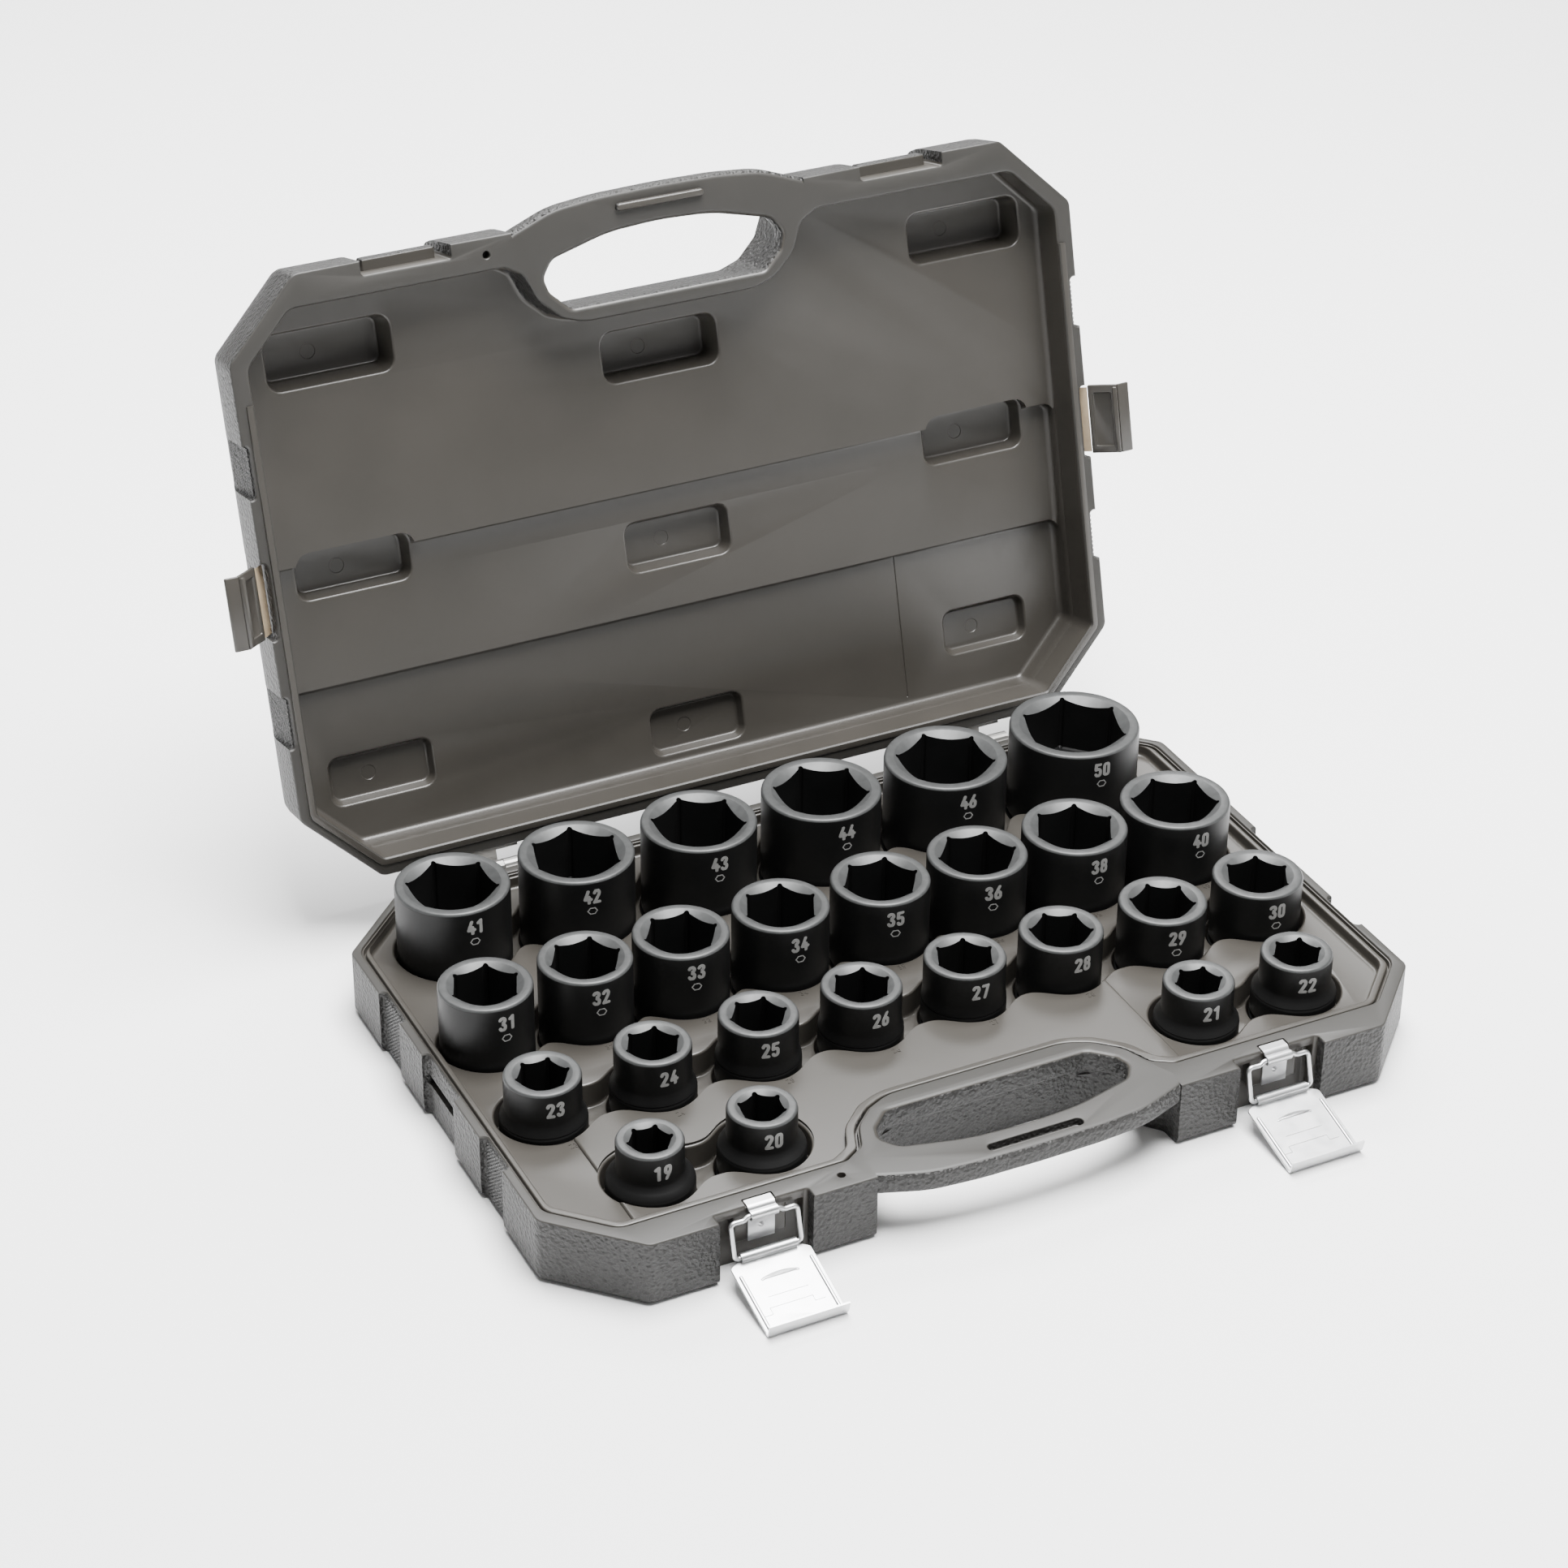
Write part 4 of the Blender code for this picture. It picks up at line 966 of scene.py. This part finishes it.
def tube(path, across, radius, sides=14):
    """Round wire along a closed flat path; across is the path's plane normal."""
    p = np.array(path, float)
    along = np.roll(p, -1, 0) - np.roll(p, 1, 0)
    along /= np.linalg.norm(along, axis=1)[:, None]
    up = np.array(across, float)
    side = np.cross(along, up)
    verts, faces = [], []
    for q, s in zip(p, side):
        verts += [tuple(q + radius * (s * cos(2 * pi * k / sides) + up * sin(2 * pi * k / sides)))
                  for k in range(sides)]
    count = len(p)
    for i in range(count):
        j = (i + 1) % count
        faces += [(i * sides + k, j * sides + k, j * sides + (k + 1) % sides,
                   i * sides + (k + 1) % sides) for k in range(sides)]
    return mesh_object("tube", verts, faces)


def fused(obj, other):
    return combine(obj, other, "UNION")


# ------------------------------------------------------------ draw latches
CURL_Y, BAR_DROP, BAR_TILT, LEVER_TILT = -157.9, 19.5, radians(16), radians(14.5)
BAR = (CURL_Y - BAR_DROP * sin(BAR_TILT), 33 - BAR_DROP * cos(BAR_TILT))


def draw_latch(x, word):
    # bracket: top lip, curl round the wire, back plate with its nub
    curl = bend(CURL_Y, 33, 2.05, 50, 305, 18)
    path = [(-150.4, 36.4), (-154.2, 36.4), (-155.2, 36.1), (-155.9, 35.4)] + curl
    path += [(-155.9, 30.6), (-155.35, 29.8), (-155.3, 28.8), (-155.3, 22), (-155.3, 16.5)]
    bracket = side_profile(sheet(path, 0.9), x - 7, x + 7)
    nub = turned([(1.9, -2), (1.6, 0.15), (1.0, 0.5), (0.4, 1.1), (0.15, 1.25)], 24)
    nub.data.transform(Matrix.Translation(Vector((x, -155.7, 24.5)) * MM)
                       @ Matrix.Rotation(pi / 2, 4, "X"))
    settle(fused(bracket, nub), "latch_bracket_sheet_" + word, [ZINC], "case")
    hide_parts("latch_bracket_" + word)

    # bail: straight bar in the curl, a joggle each side, square shoulders
    half = [(0, 0), (7.4, 0), (8.6, -0.25), (10, -1.2), (11.2, -1.5), (14.6, -1.4)]
    half += bend(15.3, -3.6, 2.2, 90, 0, 6) + bend(15.3, -BAR_DROP + 2.2, 2.2, 0, -90, 6)
    loop_line = half + [(-u, v) for u, v in reversed(half[1:])]
    path = [(x + u, CURL_Y + v * sin(BAR_TILT), 33 + v * cos(BAR_TILT)) for u, v in loop_line]
    bail = tube(path, (0, cos(BAR_TILT), -sin(BAR_TILT)), 1.25)
    settle(bail, "latch_bail_wire_" + word, [ZINC], "bail_" + word, 60)
    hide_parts("latch_bail_" + word)

    # lever, drawn straight out from the bar and then tipped about it
    outline = rounded([(-21, -3.2), (-15.4, 0.2), (15.4, 0.2), (21, -3.2), (21, -44.6), (-21, -44.6)],
                      [2.2, 1.5, 1.5, 2.2, 0.8, 0.8], 4)
    outline = outline if area(outline) > 0 else outline[::-1]
    plate = skin([(outline, [(-0.25, -2.7), (0, -2.45), (0, -2.0), (-0.25, -1.75)])])
    fused(plate, side_profile(sheet(bend(0, 0, 2.05, 15, 300, 24), 0.85), -14.6, 14.6))
    lip = [(-43, -2.25), (-43.8, -2.1), (-44.3, -1.6), (-44.5, -0.8), (-44.5, 2), (-44.5, 5.3)]
    fused(plate, side_profile(sheet(lip, 0.9), -20.95, 20.95))
    for s in (-1, 1):
        bead = skin([rounded_block(rectangle(s * 18.4 - 0.9, s * 18.4 + 0.9, -43.6, -8.5, 0.88),
                                   -2.3, -0.95, 0.1, 0.7)])
        fused(plate, bead)
    arch = [(u, v) for u, v in bend(0, -38.5, 27.5, 113, 67, 10)]
    arch += [(u, v) for u, v in bend(0, -38.5, 25.2, 67, 113, 10)]
    fused(plate, skin([(rounded(arch, 1.0, 2) if area(arch) > 0 else rounded(arch[::-1], 1.0, 2),
                        [(-0.5, -2.2), (-0.4, -1.75), (-0.6, -1.45), (-1.0, -1.3)])]))
    for x0, x1, y0, y1 in ((-11, 10, -24.2, -23.9), (-17.5, -13.2, -34.1, -33.8),
                           (-13.2, -12.9, -34.1, -30), (-13.2, 9, -30.3, -30),
                           (9, 9.3, -33.5, -30), (9, 14.5, -33.5, -33.2)):
        cut(plate, ([(x0, y0), (x1, y0), (x1, y1), (x0, y1)], [(0, -2.1), (0, -1)]))
    tip = Matrix.Translation(Vector((x, BAR[0], BAR[1])) * MM) @ Matrix.Rotation(LEVER_TILT, 4, "X")
    settle(plate, "latch_lever_sheet_" + word, [ZINC], "lever_" + word, 35, tip)
    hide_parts("latch_lever_" + word)


for side, word in ((-1, "left"), (1, "right")):
    draw_latch(side * 142.5, word)


# ------------------------------------------------------------ side latches
def side_latch(side, word):
    """Moulded flap on a thin web; profile runs outward from the hinge line."""
    axis = side * 240.2
    swing = (Matrix.Translation(Vector((axis, 2.5, 46)) * MM)
             @ Matrix.Rotation(side * radians(45), 4, "Y"))
    flip = Matrix.Scale(side, 4, (1, 0, 0))
    place = OPEN @ swing @ flip
    upright = Matrix(((1, 0, 0, 0), (0, 0, 1, 0), (0, 1, 0, 0), (0, 0, 0, 1)))

    def along_y(points, half, edge=0.5):
        line = points if area(points) > 0 else points[::-1]
        obj = skin([(line, [(-edge * 0.7, -half), (-edge * 0.25, -half + edge * 0.35),
                            (0, -half + edge), (0, half - edge),
                            (-edge * 0.25, half - edge * 0.35), (-edge * 0.7, half)])])
        obj.data.transform(upright)
        return obj

    c, s = cos(radians(48)), sin(radians(48))
    out = [(24.6 + u * c - v * s, 0.7 + u * s + v * c) for u, v in
           [(0, -0.95), (5.6, -0.95)] + bend(6.3, 0.15, 1.1, -80, 90, 6) + [(5, 1.15), (0, 1.0)]]
    flap = along_y(rounded([(7.8, -0.4), (24.8, -0.4), (24.8, 1.8), (7.8, 1.8)], 0.5, 3), 19.5)
    fused(flap, along_y(out, 19.45))
    fused(flap, along_y(rounded([(22.6, 0.4), (22.6, -2.5), (25.0, -1.9), (25.0, 0.4)], 0.5, 3), 18.5))
    cut(flap, (rectangle(10.2, 21.3, -15.5, 15.5, 1.2), [(0, -3), (0, -0.4), (-0.3, 0.2), (-0.6, 0.35)]))
    settle(flap, "side_latch_flap_" + word, [SMOOTH_CASE], "side_flap_" + word, 35, place)
    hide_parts("side_latch_" + word)

    web = along_y(rounded([(0, -0.35), (7.5, -0.35), (7.5, 0.35), (0, 0.35)], 0.15, 2), 18.5, 0.3)
    for k in range(15):
        bead = skin([(circle(1.0, -17.5 + 2.5 * k, 0.42, 8), [(0, -0.62), (0, 0.62)])])
        fused(web, bead)
    settle(web, "side_latch_web_" + word, [WEB], "side_flap_" + word, 35, place)
    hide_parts("side_latch_strip_" + word)


for side, word in ((-1, "left"), (1, "right")):
    side_latch(side, word)


# ------------------------------------------------------------ ribbed grips and tray figures
def rib_tree():
    """Slanting bars stacked up a panel and trimmed to its edges."""
    tree = bpy.data.node_groups.new("panel_ribs", "GeometryNodeTree")
    tree.interface.new_socket("Geometry", in_out="OUTPUT", socket_type="NodeSocketGeometry")
    for name, kind in (("Count", "NodeSocketInt"), ("Pitch", "NodeSocketFloat"),
                       ("Slant", "NodeSocketFloat"), ("Panel", "NodeSocketVector"),
                       ("Middle", "NodeSocketVector"), ("Material", "NodeSocketMaterial")):
        tree.interface.new_socket(name, in_out="INPUT", socket_type=kind)
    given = node(tree, "NodeGroupInput").outputs
    step = node(tree, "ShaderNodeCombineXYZ", Z=given["Pitch"])
    start = node(tree, "ShaderNodeMath", {"operation": "MULTIPLY"}, i0=given["Count"])
    start.inputs[1].default_value = -0.5
    first = node(tree, "ShaderNodeVectorMath", {"operation": "SCALE"}, Vector=step.outputs[0],
                 Scale=start.outputs[0])
    stack = node(tree, "GeometryNodeMeshLine", Count=given["Count"], Start_Location=first.outputs[0],
                 Offset=step.outputs[0])
    bar = node(tree, "GeometryNodeMeshCube")
    bar.inputs["Size"].default_value = (0.0012, 0.05, 0.0009)
    turn = node(tree, "ShaderNodeCombineXYZ", X=given["Slant"])
    bars = node(tree, "GeometryNodeInstanceOnPoints", Points=stack.outputs[0],
                Instance=bar.outputs[0], Rotation=turn.outputs[0])
    solid = node(tree, "GeometryNodeRealizeInstances", Geometry=bars.outputs[0])
    window = node(tree, "GeometryNodeMeshCube", Size=given["Panel"])
    trim = node(tree, "GeometryNodeMeshBoolean", {"operation": "INTERSECT"})
    tree.links.new(solid.outputs[0], trim.inputs["Mesh 2"])
    tree.links.new(window.outputs[0], trim.inputs["Mesh 2"])
    shift = node(tree, "GeometryNodeTransform", Geometry=trim.outputs[0],
                 Translation=given["Middle"])
    real = node(tree, "GeometryNodeRealizeInstances", Geometry=shift.outputs[0])
    coat = node(tree, "GeometryNodeSetMaterial", Geometry=real.outputs[0],
                Material=given["Material"])
    end = node(tree, "NodeGroupOutput")
    tree.links.new(coat.outputs[0], end.inputs[0])
    return tree


RIBS = rib_tree()


def generated(tree, name, **values):
    """Mesh object made by one geometry tree with its inputs set by name."""
    obj = mesh_object(name, [], [])
    mod = obj.modifiers.new("nodes", "NODES")
    mod.node_group = tree
    for item in tree.interface.items_tree:
        if item.in_out == "INPUT" and item.name in values:
            mod[item.identifier] = values[item.name]
    graph = bpy.context.evaluated_depsgraph_get()
    graph.update()
    mesh = bpy.data.meshes.new_from_object(obj.evaluated_get(graph))
    obj.modifiers.remove(mod)
    obj.data = mesh
    return obj


def gathered(parts, name):
    bm = bmesh.new()
    for part in parts:
        bm.from_mesh(part.data)
        bpy.data.objects.remove(part, do_unlink=True)
    mesh = bpy.data.meshes.new(name)
    bm.to_mesh(mesh)
    bm.free()
    obj = bpy.data.objects.new(name, mesh)
    bpy.context.scene.collection.objects.link(obj)
    return obj


for name, body, z0, z1, turn in (("base_grip_ribs", "case", 2.5, 35, None),
                                 ("lid_grip_ribs", "lid", RIM + 2, RIM + 33, OPEN)):
    parts = []
    for y0, y1 in PANELS[:2]:
        for s in (-1, 1):
            # the ribs take the darker grained copy of the plastic, which carries painted shade
            parts.append(generated(
                RIBS, "ribs", Count=34, Pitch=0.0021, Slant=radians(40 * s), Material=GRAIN_CASE_PAINTED_SHADE,
                Panel=(0.0030, (y1 - y0 - 3) * MM, (z1 - z0) * MM),
                Middle=(s * 0.2397, (y0 + y1) / 2 * MM, (z0 + z1) / 2 * MM)))
    ribs = settle(gathered(parts, name), name, [GRAIN_CASE_PAINTED_SHADE], body, 35, turn)

# size of the socket that belongs in each pocket, raised on the tray in front of it
FIGURE_SPOTS = ((23, -200.7, -68, 29.5), (24, -144, -68.6, 30.9), (25, -84, -67.8, 30.9),
                (26, -25, -67.8, 30.9), (27, 31, -67.8, 30.9), (28, 87, -68, 30.9),
                (19, -175.5, -134.4, 29.5), (20, -117, -134.4, 29.5), (21, 130, -134.4, 29.5),
                (22, 188.5, -134.4, 29.5), (32, -152, -1.5, 29.5), (33, -98.5, -2, 29.5),
                (34, -43.5, -1.5, 29.5), (35, 12.5, -2.4, 29.5), (36, 70, -3, 29.5),
                (38, 128, -4.5, 29.5), (31, -206, -0.5, 29.5), (40, 194, -5.8, 29.5))
parts = []
for size, x, y, z in FIGURE_SPOTS:
    bm = numeral(str(size), 4.0, 0.5, 1.2)
    bm.transform(Matrix.Translation(Vector((x, y, z)) * MM) @ Matrix.Scale(MM, 4))
    mesh = bpy.data.meshes.new("figure")
    bm.to_mesh(mesh)
    bm.free()
    parts.append(bpy.data.objects.new("figure", mesh))
figures = settle(gathered(parts, "tray_size_figures"), "tray_size_figures", [SMOOTH_CASE], "case", 35)

for name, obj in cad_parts.items():
    if name.startswith("hinge_"):
        obj.data.materials.clear()
        obj.data.materials.append(HINGE_STEEL)


# ------------------------------------------------------------ stage
def pale_floor():
    mat, tree, shader = new_material("floor_pale_matte")
    shader.inputs["Base Color"].default_value = (0.93, 0.93, 0.93, 1)
    shader.inputs["Roughness"].default_value = 0.9
    bpy.ops.mesh.primitive_plane_add(size=12)
    floor = bpy.context.object
    floor.name = "floor"
    floor.data.materials.append(mat)


pale_floor()
area_light("key", (0.25, 0.0, 2.35), (0, 0.05, 0.1), (1.9, 1.4), 285)
area_light("fill", (1.6, -1.6, 1.6), (0, 0, 0.1), (1.6, 1.2), 7)
area_light("back", (0.3, 1.9, 1.8), (0, 0.2, 0.2), (2.0, 0.9), 75)
world = bpy.data.worlds.new("studio")
world.use_nodes = True
world.node_tree.nodes["Background"].inputs[0].default_value = (1, 1, 1, 1)
world.node_tree.nodes["Background"].inputs[1].default_value = 0.27
bpy.context.scene.world = world
